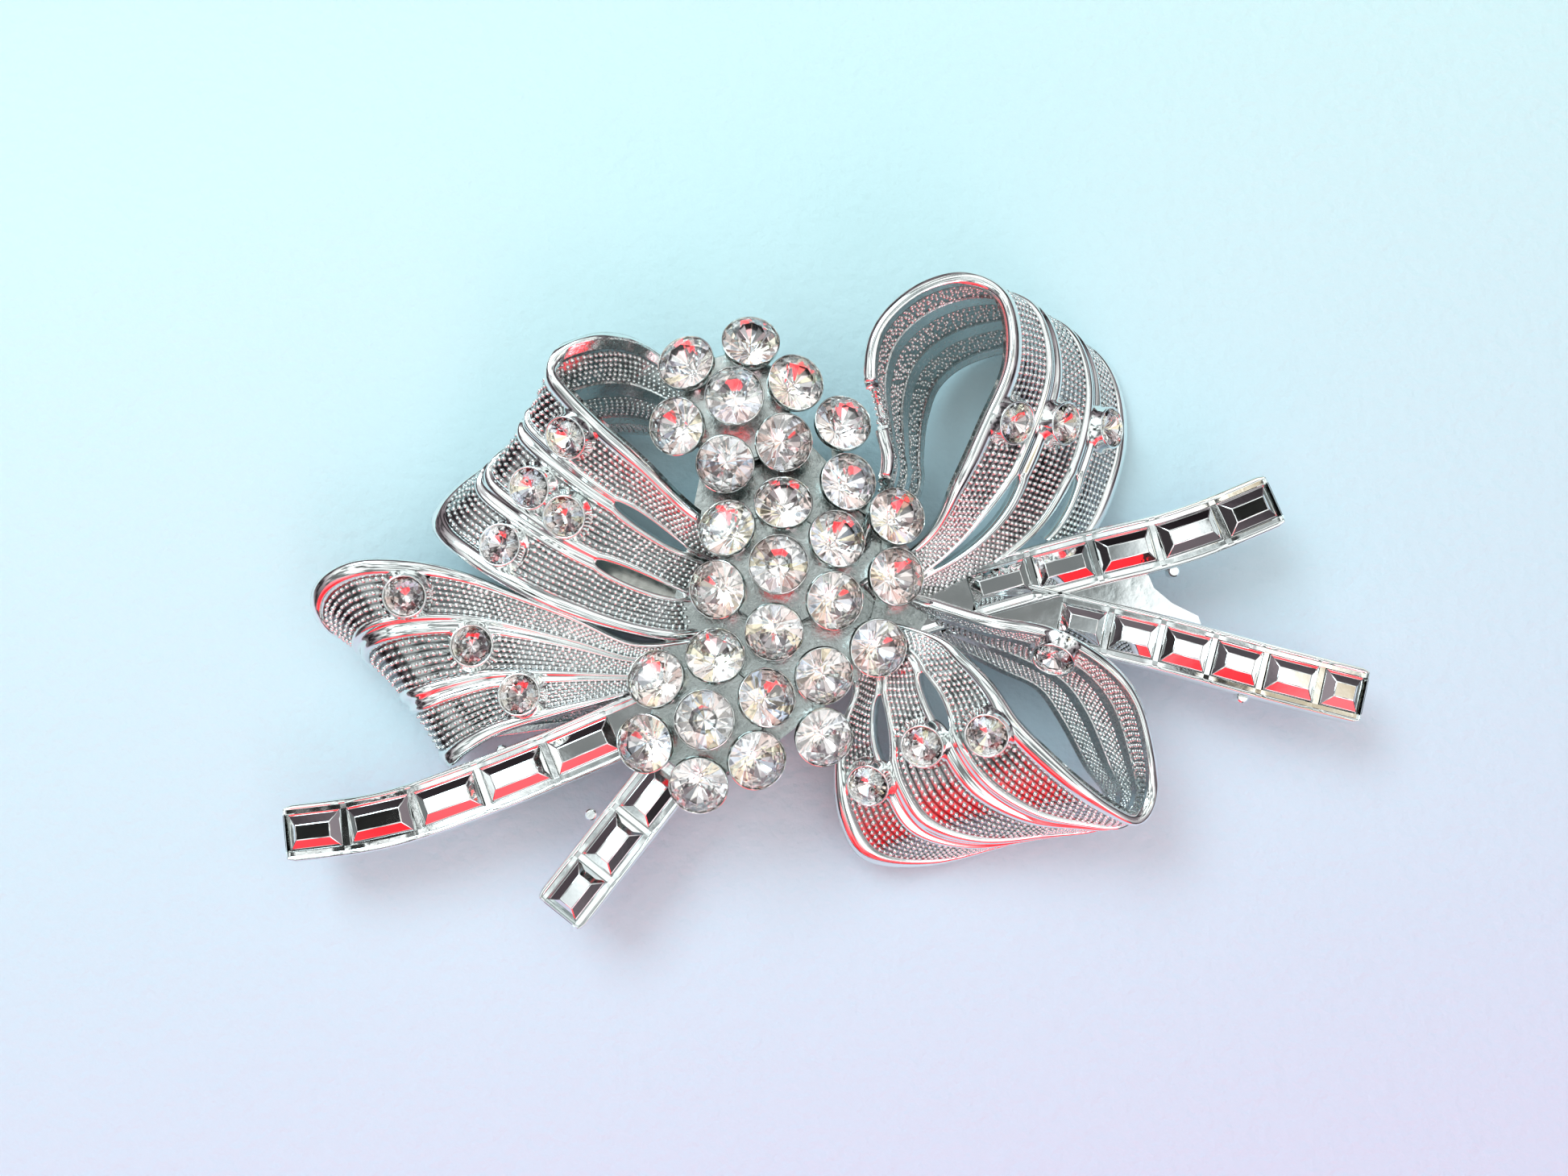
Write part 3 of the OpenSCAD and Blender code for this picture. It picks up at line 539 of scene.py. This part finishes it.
# %% Ribbon stations, in millimetres
ribbons = {
    "upper_right": dict(
        high=[(2.5, 2, 7), (7.4, 5.4, 8.6), (9.4, 9.3, 11), (11.3, 13.4, 12), (13.2, 18, 12.8),
              (12.8, 22.6, 13), (10, 24.3, 13), (6.6, 23.4, 13), (3.8, 20.8, 12.8),
              (3, 17.4, 12.4), (3.9, 13.4, 11.6), (4.4, 10.2, 10.4), (2.5, 4.5, 7)],
        low=[(6, -1.5, 4.8), (12.5, 0.8, 5.2), (20.4, 5, 3), (24.2, 12, 1.6), (24.6, 18, 0.6),
             (22.4, 21.8, 0.4), (17.8, 22.6, 0.5), (12.6, 21.4, 1), (9.4, 19, 2), (8, 15.6, 3),
             (7.5, 12, 4), (7.3, 9.4, 4.5), (4.5, 3, 4.8)],
        sag=-0.5, slits=[(3, 9), (4, 10)], outer=-1,
        stones=[(3.15, 0.13, -1), (3.3, 0.42, -1), (3.4, 0.76, -1)]),
    "upper_left": dict(
        high=[(-6.5, 5, 7.2), (-10.6, 7.6, 9.8), (-14, 10.8, 11.3), (-17, 13.4, 12),
              (-19.6, 16, 12.4), (-20.6, 17.6, 12.5), (-19.8, 19.3, 12.4), (-17.5, 20.2, 12),
              (-15.2, 20.6, 9.8), (-12.8, 19.6, 7.9), (-7, 15, 6.8)],
        low=[(-7.5, -1.5, 4.8), (-11.7, -2.6, 7), (-17.8, -1.4, 7.8), (-23, 0.6, 8),
             (-27.6, 3.2, 7.3), (-30.6, 5.6, 6), (-31, 7.8, 4.6), (-28.3, 11, 2.8),
             (-23.5, 14.2, 1), (-17, 15.5, 0.4), (-7.5, 13.5, 4.8)],
        sag=-1.4, slits=[(4, 10), (4, 10)], outer=1,
        stones=[(3.5, 0.16, 1), (3.75, 0.51, 1), (3, 0.53, 1), (3.7, 0.84, 1)]),
    "lower_right": dict(
        high=[(3.5, -0.8, 7), (8.3, -2.4, 9.6), (10.4, -4.2, 10.6), (12.3, -6.3, 11),
              (14, -8.8, 11), (16.2, -11, 10.6), (19, -13.5, 10), (21.4, -15.2, 9.2),
              (23.4, -16, 8.4), (24.5, -14.4, 8), (24.4, -11.5, 8.8), (23.3, -7.4, 9.5),
              (21, -4.6, 10), (17, -2.2, 10), (12, -1.2, 9.4), (6, 1, 7)],
        low=[(0.5, -3, 4.8), (2.1, -6.2, 6.2), (1.1, -9.2, 5.8), (0.6, -12.5, 5.2),
             (1, -16.3, 4), (3, -19.5, 2.6), (8, -20, 1), (14.5, -18.4, 0.4),
             (20.5, -16.9, 1.5), (22.4, -14.8, 2.4), (20.4, -12, 3.6), (18.2, -8.4, 4.6),
             (16.3, -6, 5.2), (13.3, -4.6, 5.4), (9.6, -2.6, 5), (6, -0.8, 4.8)],
        sag=-0.2, slits=[(5, 10), (5, 10)], outer=-1,
        stones=[(3.85, 0.14, -1), (3.4, 0.45, -1), (3.6, 0.78, -1), (12.7, 0.25, 1)]),
    "lower_left": dict(
        high=[(-10, -2.2, 6.6), (-15, -2.6, 6.4), (-20, -0.4, 6.3), (-25, 1.6, 6.3),
              (-28.6, 2.9, 6.4), (-32.5, 3.6, 7.8), (-36.5, 3.5, 8.2), (-39.4, 2.2, 7.2),
              (-40.4, 0.2, 5.4), (-39, -1.5, 3.4), (-34, -1.8, 1.8), (-25, -2, 1.4),
              (-16, -3, 2.6), (-11, -3.2, 4.6)],
        low=[(-11, -6.6, 5.6), (-15, -6.8, 6), (-19, -7.8, 6.4), (-22.5, -8.8, 6.4),
             (-25.5, -9.8, 6), (-28, -11.2, 5.4), (-29.3, -12.2, 4.6), (-29.8, -12, 3.4),
             (-29.4, -11.2, 2.2), (-27.5, -10.2, 1.2), (-24, -9.6, 0.6), (-20, -9, 0.5),
             (-15.5, -7.5, 1.8), (-11.5, -7, 4.4)],
        sag=-0.3, slits=[(0, 0), (0, 0)], outer=1,
        stones=[(5.25, 0.18, 1), (4.15, 0.46, 1), (3.2, 0.8, 1)]),
}
ribbon_t = 0.8
print({name: len(r["high"]) for name, r in ribbons.items()}, "stations")


# %% Points and face directions on a ribbon
def unit(v):
    return v / np.linalg.norm(v, axis=-1, keepdims=True)


def along(stations, u):
    p = np.asarray(stations, float)
    u = np.asarray(u, float)
    last = len(p) - 1
    i = np.clip(np.floor(u).astype(int), 0, last - 1)
    t = (u - i)[..., None]
    a, b, c, d = p[np.maximum(i - 1, 0)], p[i], p[i + 1], p[np.minimum(i + 2, last)]
    return 0.5 * (2 * b + (c - a) * t + (2 * a - 5 * b + 4 * c - d) * t ** 2
                  + (3 * b - a - 3 * c + d) * t ** 3)


def chord(r, u, v):
    v = np.asarray(v, float)[..., None]
    return along(r["high"], u) * (1 - v) + along(r["low"], u) * v


def ribbon_point(r, u, v):
    half = np.full(np.shape(u), 0.5)
    lean = unit(np.cross(chord(r, u + 0.02, half) - chord(r, u - 0.02, half),
                         along(r["low"], u) - along(r["high"], u)))
    return chord(r, u, v) + lean * (r["sag"] * 4 * v * (1 - v))[..., None]


def facing(r, u, v):
    run = ribbon_point(r, u + 0.02, v) - ribbon_point(r, u - 0.02, v)
    rise = ribbon_point(r, u, v + 0.02) - ribbon_point(r, u, v - 0.02)
    return unit(np.cross(run, rise))


for name, r in ribbons.items():
    u = np.linspace(0, len(r["high"]) - 1, 400)
    line = ribbon_point(r, u, np.full(400, 0.5))
    print(name, "ribbon is", round(float(np.linalg.norm(np.diff(line, axis=0), axis=1).sum()), 1),
          "mm long")

# %% [markdown]
# The tails are channel bars. Their centre lines are smooth curves too, and the ribbons stop
# where a tail or a cup takes their room, as the real casting's do. One function says
# whether points are in any of those rooms.

# %% Tails, and the rooms that ribbons keep out of
tails = {
    "left": ([(-10, -6.8), (-18, -10.3), (-26, -13.6), (-34, -16.3), (-41.7, -17.4)], 5, 0.8),
    "bottom": ([(-9.8, -9.6), (-13.4, -14.2), (-17, -18.8), (-20.6, -23.4)], 3, 0.7),
    "upper_right": ([(6, -0.3), (13.4, 1.9), (20.8, 3.9), (28.2, 5.8), (35.2, 8.6)], 5, 0.7),
    "lower_right": ([(11.5, 0.6), (19, -1.1), (26.6, -2.9), (34.2, -5), (41.6, -6.9)], 6, 0.85),
}
tail_w, tail_rim, pocket, bar_w = 4.4, 0.75, 1.1, 0.55
tail_low, tail_top = (c.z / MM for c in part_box("tail_left"))


def in_rooms(points):
    inside = np.zeros(points.shape[:-1], bool)
    for places in cups.values():
        for base, out, side, up in places:
            q = points - base
            h = q @ up
            away = np.linalg.norm(q - h[..., None] * up, axis=-1)
            room = (cup_r + 0.15) * np.clip(0.7 + 0.3 * h / (0.5 * cup_h), 0.7, 1)
            inside |= (h > -0.15) & (away < room)
    for line, count, first in tails.values():
        middle = along(line, np.linspace(0, len(line) - 1, 80))
        away = np.linalg.norm(points[..., None, :2] - middle, axis=-1).min(-1)
        level = (points[..., 2] > tail_low - 0.05) & (points[..., 2] < tail_top + 0.05)
        inside |= level & (away < tail_w / 2 + 0.05)
    return inside


print("tails from", round(tail_low, 2), "to", round(tail_top, 2), "mm above the paper")

# %% [markdown]
# Each ribbon is made to look like three narrow braids side by side: a raised polished rim down
# both edges of every strip, widest along the outer edges, and fine cords between them. A slit
# opens between the strips where the ribbon leaves the hub and closes to a groove further on.
# A regular grid of rows and columns holds all of it: the columns follow the strips, each point
# is pushed out along the face by the relief, and cells in a slit are left out. The back skin is
# plainer and grainy.

# %% Relief of one strip and columns of the grid
rim_t = 0.16
mesh_from, mesh_t = 0.17, 0.66
cords = 6
strip_t = np.concatenate((
    [0, 0.03, 0.075, 0.12, rim_t], np.linspace(mesh_from, 0.83, 4 * cords + 1),
    [1 - rim_t, 0.88, 0.925, 0.97, 1]))
on_rim = (strip_t < 0.165) | (strip_t > 0.835)
relief = np.where(
    on_rim,
    0.2 * np.sqrt(np.clip(np.sin(np.pi * np.minimum(strip_t, 1 - strip_t) / rim_t), 0, 1)) - 0.04,
    -0.2 + 0.02 * (0.5 - 0.5 * np.cos(2 * np.pi * cords * (strip_t - mesh_from) / mesh_t)))
# Painted shade weight: none on the rims, most down in the hollows between the cords.
groove_shade = np.where(on_rim, 0.0,
                  0.6 + 0.3 * np.cos(2 * np.pi * cords * (strip_t - mesh_from) / mesh_t))
cad_rows, finer = 44, 4
rows = finer * cad_rows
seam_half = 0.012
slit_share = 0.07
strip_share = (1 - 2 * slit_share) / 3
slit_middles = [strip_share + slit_share / 2, 2 * strip_share + 1.5 * slit_share]


def slit_half(r, which, u):
    first, last = (row * (len(r["high"]) - 1) / cad_rows for row in r["slits"][which])
    if last <= first:
        return np.full(np.shape(u), seam_half)
    t = np.clip((u - first) / (last - first), 0, 1)
    return seam_half + (slit_share * 0.62 - seam_half) * np.sin(np.pi * t) ** 0.7


def across(strip, t):
    wide = {0: (0.25, 0.88), 1: (rim_t, 1 - rim_t), 2: (0.12, 0.75)}[strip]
    return np.interp(t, (0, rim_t, 1 - rim_t, 1), (0, *wide, 1))


def strip_edges(r, u):
    a, b = (slit_half(r, k, u) for k in (0, 1))
    return [(np.zeros_like(u), slit_middles[0] - a),
            (slit_middles[0] + a, slit_middles[1] - b),
            (slit_middles[1] + b, np.ones_like(u))]


print(len(strip_t), "columns to a strip, three strips,", rows, "rows")


# %% Cast the ribbons
def ribbon_mesh(r):
    u = np.linspace(0, len(r["high"]) - 1, rows + 1)
    columns, out_relief, out_groove_shade = [], [], []
    for k, (a, b) in enumerate(strip_edges(r, u)):
        for t, rise, dark in zip(strip_t, relief, groove_shade):
            columns.append(a + (b - a) * across(k, t))
            out_relief.append(rise)
            out_groove_shade.append(dark)
    v = np.array(columns).T
    grid_u = np.repeat(u[:, None], v.shape[1], 1)
    middle, face = ribbon_point(r, grid_u, v), facing(r, grid_u, v) * r["outer"]
    rise = np.array(out_relief)
    back = np.where(np.array(out_groove_shade) > 0, -0.12, 0.03)
    outer = middle + face * (ribbon_t / 2 + rise)[None, :, None]
    inner = middle - face * (ribbon_t / 2 + back)[None, :, None]
    inner[..., 2] = np.maximum(inner[..., 2], 0.05)
    outer[..., 2] = np.maximum(outer[..., 2], 0.05)
    centre = (middle[:-1, :-1] + middle[1:, 1:]) / 2
    closed = ~(in_rooms(outer)[:-1, :-1] | in_rooms(inner)[1:, 1:] | in_rooms(centre))
    for k in (0, 1):
        first, last = (row * finer for row in r["slits"][k])
        closed[first:last, strip_t.size * (k + 1) - 1] = False
    count = v.shape[1]
    size = (rows + 1) * count
    points = np.concatenate((outer.reshape(-1, 3), inner.reshape(-1, 3)))
    # Painted shade per point: full weight on the outer skin, 0.6 of it on the back skin.
    dark = np.concatenate((np.tile(out_groove_shade, rows + 1), np.tile(np.array(out_groove_shade) * 0.6,
                                                                 rows + 1)))
    faces, finish = [], []
    flip = r["outer"] > 0
    padded = np.zeros((rows + 2, count + 1), bool)
    padded[1:-1, 1:-1] = closed
    for i, j in zip(*np.nonzero(closed)):
        a, b, c, d = i * count + j, i * count + j + 1, (i + 1) * count + j + 1, (i + 1) * count + j
        beaded = 0 < out_groove_shade[j] or 0 < out_groove_shade[j + 1]
        skin = (a, d, c, b) if flip else (a, b, c, d)
        under = tuple(x + size for x in reversed(skin))
        faces += [skin, under]
        finish += [1 if beaded else 0, 2]
        for p, q, open_side in ((a, b, not padded[i, j + 1]), (b, c, not padded[i + 1, j + 2]),
                                (c, d, not padded[i + 2, j + 1]), (d, a, not padded[i + 1, j])):
            if open_side:
                wall = (p, p + size, q + size, q)
                faces.append(tuple(reversed(wall)) if flip else wall)
                finish.append(0)
    used = np.unique(np.concatenate([np.asarray(f) for f in faces]))
    new = np.full(len(points), -1)
    new[used] = np.arange(len(used))
    return points[used], [tuple(int(new[i]) for i in f) for f in faces], finish, dark[used]


accent_d = 2.8
collar_r = accent_d / 2 + 0.03 + 0.35
collar_top = 0.3 + 0.25 * accent_d + 0.15
collar_profile = [(collar_r + 0.3, 0.2), (collar_r + 0.2, 0.45), (collar_r - 0.04, 0.7),
                  (collar_r - 0.08, collar_top + 0.12), (collar_r - 0.12, collar_top + 0.2),
                  (1.56, collar_top + 0.22), (1.53, collar_top + 0.14), (1.52, 0.9),
                  (1.2, 0.55), (0.5, 0.28)]


def stone_axes(r, stone):
    u, v, side = stone
    at = ribbon_point(r, np.array(u), np.array(v))
    up = facing(r, np.array(u), np.array(v)) * side
    out = unit(ribbon_point(r, np.array(u + 0.02), np.array(v))
               - ribbon_point(r, np.array(u - 0.02), np.array(v)))
    return at, out, np.cross(up, out), up


for name, r in ribbons.items():
    points, faces, finish, dark = ribbon_mesh(r)
    parts = [(points, faces)]
    for stone in r["stones"]:
        collar_points, collar_faces = lathe(collar_profile, 28)
        parts.append((placed_points(collar_points, stone_axes(r, stone)), collar_faces))
    points, faces = merged(parts)
    finish = finish + [0] * (len(faces) - len(finish))
    dark = np.concatenate((dark, np.zeros(len(points) - len(dark))))
    ribbon = piece(f"ribbon_{name}", points, faces, [bright_plate, beaded_plate, sandy_plate],
                   finish, {"groove_shade": ("POINT", dark)}, sharp=100, nodes=[f"loop_{name}"])
    print(ribbon.name, len(faces), "faces")

# %% [markdown]
# The ribbon stones are the same cut, smaller, each sunk in a raised collar.

# %% Set the ribbon stones
accent_r = accent_d / 2 + 0.1
for name, r in ribbons.items():
    parts, foiled, tints = [], [], []
    for stone in r["stones"]:
        points, faces, backs = cut_stone(accent_r, 0.32, 1.0, 0.22 * accent_d)
        parts.append((placed_points(turned(points, dice.uniform(0, 45)), stone_axes(r, stone)),
                      faces))
        foiled += backs
        tints += list(dice.uniform(0, 1, len(faces)))
    points, faces = merged(parts)
    piece(f"cut_stones_ribbon_{name}", points, faces, [glass, foil], foiled,
          {"tint": ("FACE", tints)}, sharp=2, nodes=[f"accents_{name}"])
print("ribbon stones:", sum(len(r["stones"]) for r in ribbons.values()))

# %% [markdown]
# Rows of tiny beads ride on the cords and make the ribbon look like metal mesh. There are
# thousands, all alike, so Geometry Nodes sets them: a guide mesh has one point for each bead,
# the tree puts a small ball on each point, turned to the face and squashed a little, with its
# size varied from a fixed seed. The script spaces the points about half a millimetre apart.

# %% Geometry Nodes tree for the beads
tree = bpy.data.node_groups.new("beads_on_ribbon", "GeometryNodeTree")
tree.interface.new_socket("Geometry", in_out="INPUT", socket_type="NodeSocketGeometry")
for label, kind, value in (("Bead radius", "NodeSocketFloat", 0.17 * MM),
                           ("Height share", "NodeSocketFloat", 0.8),
                           ("Variation", "NodeSocketFloat", 0.14),
                           ("Seed", "NodeSocketInt", 3),
                           ("Finish", "NodeSocketMaterial", None)):
    socket = tree.interface.new_socket(label, in_out="INPUT", socket_type=kind)
    if value is not None:
        socket.default_value = value
tree.interface.new_socket("Geometry", in_out="OUTPUT", socket_type="NodeSocketGeometry")
given = add(tree, "NodeGroupInput").outputs
ball = add(tree, "GeometryNodeMeshUVSphere", values={"Segments": 6, "Rings": 4},
           links={"Radius": given["Bead radius"]})
squashed = add(tree, "ShaderNodeCombineXYZ", values={"X": 1.0, "Y": 1.0},
               links={"Z": given["Height share"]})
flat_ball = add(tree, "GeometryNodeTransform",
                links={"Geometry": ball.outputs["Mesh"], "Scale": squashed.outputs["Vector"]})
smallest = add(tree, "ShaderNodeMath", {"operation": "SUBTRACT"}, {0: 1.0},
               {1: given["Variation"]})
largest = add(tree, "ShaderNodeMath", {"operation": "ADD"}, {0: 1.0}, {1: given["Variation"]})
size = add(tree, "FunctionNodeRandomValue", {"data_type": "FLOAT"},
           links={2: smallest.outputs[0], 3: largest.outputs[0], "Seed": given["Seed"]})
up = add(tree, "GeometryNodeInputNamedAttribute", {"data_type": "FLOAT_VECTOR"}, {"Name": "up"})
stand = add(tree, "FunctionNodeAlignRotationToVector", {"axis": "Z"},
            links={"Vector": up.outputs["Attribute"]})
set_beads = add(tree, "GeometryNodeInstanceOnPoints",
                links={"Points": given["Geometry"], "Instance": flat_ball.outputs["Geometry"],
                       "Rotation": stand.outputs["Rotation"], "Scale": size.outputs[1]})
real = add(tree, "GeometryNodeRealizeInstances", links={"Geometry": set_beads.outputs["Instances"]})
rounded = add(tree, "GeometryNodeSetShadeSmooth", links={"Geometry": real.outputs["Geometry"]})
dressed = add(tree, "GeometryNodeSetMaterial",
              links={"Geometry": rounded.outputs["Geometry"], "Material": given["Finish"]})
add(tree, "NodeGroupOutput", links={"Geometry": dressed.outputs["Geometry"]})
print("tree", tree.name, "has", len(tree.nodes), "nodes")


# %% Guide points and the beads
def bead_guides(r, side, step, scatter):
    height = ribbon_t / 2 + (-0.15 if side > 0 else -0.1)
    found, normals = [], []
    fine = np.linspace(0.02, len(r["high"]) - 1.02, 1200)
    for strip, (a, b) in enumerate(strip_edges(r, fine)):
        for k in range(cords):
            v = a + (b - a) * across(strip, mesh_from + mesh_t * (k + 0.5) / cords)
            line = ribbon_point(r, fine, v)
            run = np.concatenate(([0], np.cumsum(np.linalg.norm(np.diff(line, axis=0), axis=1))))
            marks = np.arange(step * (0.5 + 0.5 * (k % 2)), run[-1], step)
            marks = marks + dice.uniform(-scatter, scatter, len(marks))
            u, w = np.interp(marks, run, fine), np.interp(marks, run, v)
            w = w + dice.uniform(-scatter, scatter, len(marks)) * 0.08
            face = facing(r, u, w) * r["outer"] * side
            at = ribbon_point(r, u, w) + face * height
            keep = ~in_rooms(at)
            for stone in r["stones"]:
                keep &= np.linalg.norm(at - stone_axes(r, stone)[0], axis=1) > collar_r + 0.25
            found.append(at[keep])
            normals.append(face[keep])
    found, normals = np.concatenate(found), np.concatenate(normals)
    keep = found[:, 2] > 0.25
    return found[keep], normals[keep]


def beaded(name, points, normals, inputs):
    mesh = bpy.data.meshes.new(name)
    mesh.from_pydata((points * MM).tolist(), [], [])
    mesh.attributes.new("up", "FLOAT_VECTOR", "POINT").data.foreach_set(
        "vector", normals.astype(np.float32).ravel())
    guide = bpy.data.objects.new(name, mesh)
    bpy.context.scene.collection.objects.link(guide)
    modifier = guide.modifiers.new("beads", "NODES")
    modifier.node_group = tree
    names = {item.name: item.identifier for item in tree.interface.items_tree
             if item.in_out == "INPUT"}
    for label, value in inputs.items():
        modifier[names[label]] = value
    return applied(guide, modifier)


back_beads = {"upper_right": (0.15, 0.46, 0.16), "upper_left": (0.19, 0.46, 0.03),
              "lower_right": (0.2, 0.46, 0.03), "lower_left": (0.15, 0.5, 0.16)}
for name, r in ribbons.items():
    for side, label, (radius, step, scatter) in ((1, "front", (0.19, 0.5, 0.03)),
                                                 (-1, "back", back_beads[name])):
        points, normals = bead_guides(r, side, step, scatter)
        beads = beaded(f"beads_{label}_{name}", points, normals,
                       {"Bead radius": radius * MM, "Height share": 0.85, "Variation": 0.2,
                        "Seed": 3, "Finish": beaded_plate})
        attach(beads, "brooch")
        print(beads.name, len(points), "beads,", len(beads.data.polygons), "faces")

# %% [markdown]
# A tail is a shallow channel: two rims, a floor and a low bar between every two baguettes. Its
# cross-section is swept along the centre line, and only the level of the floor changes from
# row to row: down in a pocket, up on a bar, and flush at the rounded tip. A web of the same
# casting fills the fork of the two right tails, and each tail keeps a nub of its sprue.

# %% Cast the tails
def tail_rows(line, count, first):
    last = len(line) - 1
    step = (last - first) / count
    speed = np.linalg.norm(along(line, last - 0.5) - along(line, last - 0.6)) / 0.1
    half_bar = bar_w / 2 / speed
    deep, low_bar, lip = tail_top - pocket, tail_top - 0.36, 0.06 / speed
    found = [(u, low_bar) for u in np.linspace(0, first + half_bar - lip, 5)]
    found += [(first + half_bar, low_bar - 0.06), (first + half_bar, deep)]
    for k in range(1, count):
        u = first + k * step
        found += [(w, deep) for w in np.linspace(u - step + half_bar, u - half_bar, 6)[1:]]
        found += [(u - half_bar, low_bar - 0.06), (u - half_bar + lip, low_bar),
                  (u + half_bar - lip, low_bar), (u + half_bar, low_bar - 0.06),
                  (u + half_bar, deep)]
    u = last
    found += [(w, deep) for w in np.linspace(u - step + half_bar, u - half_bar, 6)[1:]]
    found += [(u - half_bar, low_bar)]
    found += [(u - t / speed, tail_top) for t in (0.24, 0.16, 0.06, 0.0)]
    return found, speed


def tail_mesh(line, count, first, low):
    found, speed = tail_rows(line, count, first)
    w, r, top, tip_r = tail_w / 2, tail_rim, tail_top, 0.7
    points, faces = [], []
    last = len(line) - 1
    for u, level in found:
        at = along(line, min(u, last))
        ahead = unit(along(line, min(u, last) + 0.001) - along(line, min(u, last) - 0.05))
        left = np.array((-ahead[1], ahead[0]))
        left_over = (last - u) * speed
        tight = tip_r - math.sqrt(max(tip_r ** 2 - max(tip_r - left_over, 0) ** 2, 0))
        edge, drop = w - tight, 0.0 if left_over > 0.3 else 0.12 * (1 - left_over / 0.3)
        ledge = max(level, top - 0.34)
        section = [(-edge, low + 0.12), (-edge, top - 0.2 - drop), (-edge + 0.04, top - 0.08 - drop),
                   (-edge + 0.13, top - drop), (-w + 0.3, top - drop),
                   (-w + 0.38, top - 0.06 - drop), (-w + 0.42, ledge - drop),
                   (-w + r - 0.02, ledge - 0.02 - drop), (-w + r, level - 0.03 - drop)]
        section += [(-d, z) for d, z in reversed(section)] + [(edge - 0.12, low), (0.12 - edge, low)]
        points += [(*(at + left * d), z) for d, z in section]
    n = len(section)
    for i in range(len(found) - 1):
        for k in range(n):
            m = (k + 1) % n
            faces.append((i * n + k, (i + 1) * n + k, (i + 1) * n + m, i * n + m))
    faces.append(tuple(range(n)))
    last_row = (len(found) - 1) * n
    faces.append(tuple(range(last_row + n - 1, last_row - 1, -1)))
    return np.array(points), faces


def baguette_places(line, count, first):
    last = len(line) - 1
    step = (last - first) / count
    for k in range(count):
        a, b = along(line, first + k * step), along(line, first + (k + 1) * step)
        way = unit(b - a)
        yield ((a + b) / 2, way, np.linalg.norm(b - a) - bar_w)


web = [(11.5, 0.6), (20.8, 3.9), (25.2, 2.6), (25.6, 1.6), (27, 0.4), (29, -0.6), (30, -3.8),
       (19, -1.1)]
nubs = {"bottom": (-18.4, -16), "upper_right": (27.4, 3), "lower_right": (32.5, -6.9),
        "left": (-25.4, -11.1)}


def prism(outline, low, high):
    n = len(outline)
    points = [(x, y, z) for z in (low, high) for x, y in outline]
    faces = [tuple(range(n)), tuple(range(2 * n - 1, n - 1, -1))]
    faces += [(k + n, (k + 1) % n + n, (k + 1) % n, k) for k in range(n)]
    return np.array(points), faces


for order, (name, (line, count, first)) in enumerate(tails.items()):
    x, y = nubs[name]
    low = tail_low + 0.04 * order  # no two undersides coincide where the tails cross
    parts = [tail_mesh(line, count, first, low), post(x, y, tail_low + 0.3, tail_low + 1.4, 0.45)]
    if name == "lower_right":
        parts.append(prism(web, tail_low + 0.25, tail_top - 0.6))
    points, faces = merged(parts)
    tail = piece(f"channel_tail_{name}", points, faces, [bright_plate], sharp=40,
                 nodes=[f"tail_{name}"])
    print(tail.name, "with", count, "pockets")

# %% [markdown]
# A baguette here is a long step-cut stone with a hipped roof: two wide slopes down its sides,
# two steep ones at its ends and a narrow flat along the ridge. Its foiled glass reads as a
# mirror. A fine bevel on every edge catches the light.

# %% Cut and set the baguettes
def baguette(long, wide):
    levels = [(0.0, 0.0, 0.0), (0.0, 0.0, pocket - 0.32), (0.7, 0.85, pocket + 0.33)]
    points, faces = [], []
    for in_end, in_side, z in levels:
        x, y = long / 2 - in_end, wide / 2 - in_side
        points += [(-x, -y, z), (x, -y, z), (x, y, z), (-x, y, z)]
    for i in range(len(levels) - 1):
        for k in range(4):
            m = (k + 1) % 4
            faces.append((4 * i + k, 4 * i + m, 4 * i + 4 + m, 4 * i + 4 + k))
    top = 4 * (len(levels) - 1)
    return np.array(points), faces + [(3, 2, 1, 0), (top, top + 1, top + 2, top + 3)]


def bevelled(made, width_mm):
    modifier = made.modifiers.new("fine_bevel", "BEVEL")
    modifier.width, modifier.segments = width_mm * MM, 2
    modifier.limit_method, modifier.angle_limit = "ANGLE", math.radians(20)
    return applied(made, modifier)


for name, (line, count, first) in tails.items():
    parts = []
    for middle, way, long in baguette_places(line, count, first):
        points, faces = baguette(long - 0.06, tail_w - 2 * tail_rim - 0.06)
        side = np.array((-way[1], way[0]))
        flat = middle + points[:, :1] * way + points[:, 1:2] * side
        parts.append((np.column_stack((flat, points[:, 2] + tail_top - pocket)), faces))
    points, faces = merged(parts)
    made = piece(f"baguette_stones_{name}", points, faces, [baguette_foil], sharp=25,
                 nodes=[f"baguettes_{name}"])
    bevelled(made, 0.05)
print("baguettes:", sum(count for line, count, first in tails.values()))

# %% [markdown]
# The hub and the pin finding already have their true shape in the CAD model: rolled brass
# strip, drawn wire and turned rivets. They keep their meshes and only take a finish.

# %% Finish the hub and the pin finding
# The hub takes the darkened back plate: painted shade under the cluster.
for name, finish in {"hub": shaded_back_plate, "pin_bar": finding_plate, "joint_bracket": finding_plate,
                     "catch_housing": finding_plate, "catch_rotor": finding_plate,
                     "bar_rivets": finding_plate, "hinge_rivet": pin_steel,
                     "pin_stem": pin_steel}.items():
    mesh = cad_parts[name].data
    mesh.materials.clear()
    mesh.materials.append(finish)
print("kept CAD nodes:", [n for n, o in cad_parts.items() if not o.hide_render])
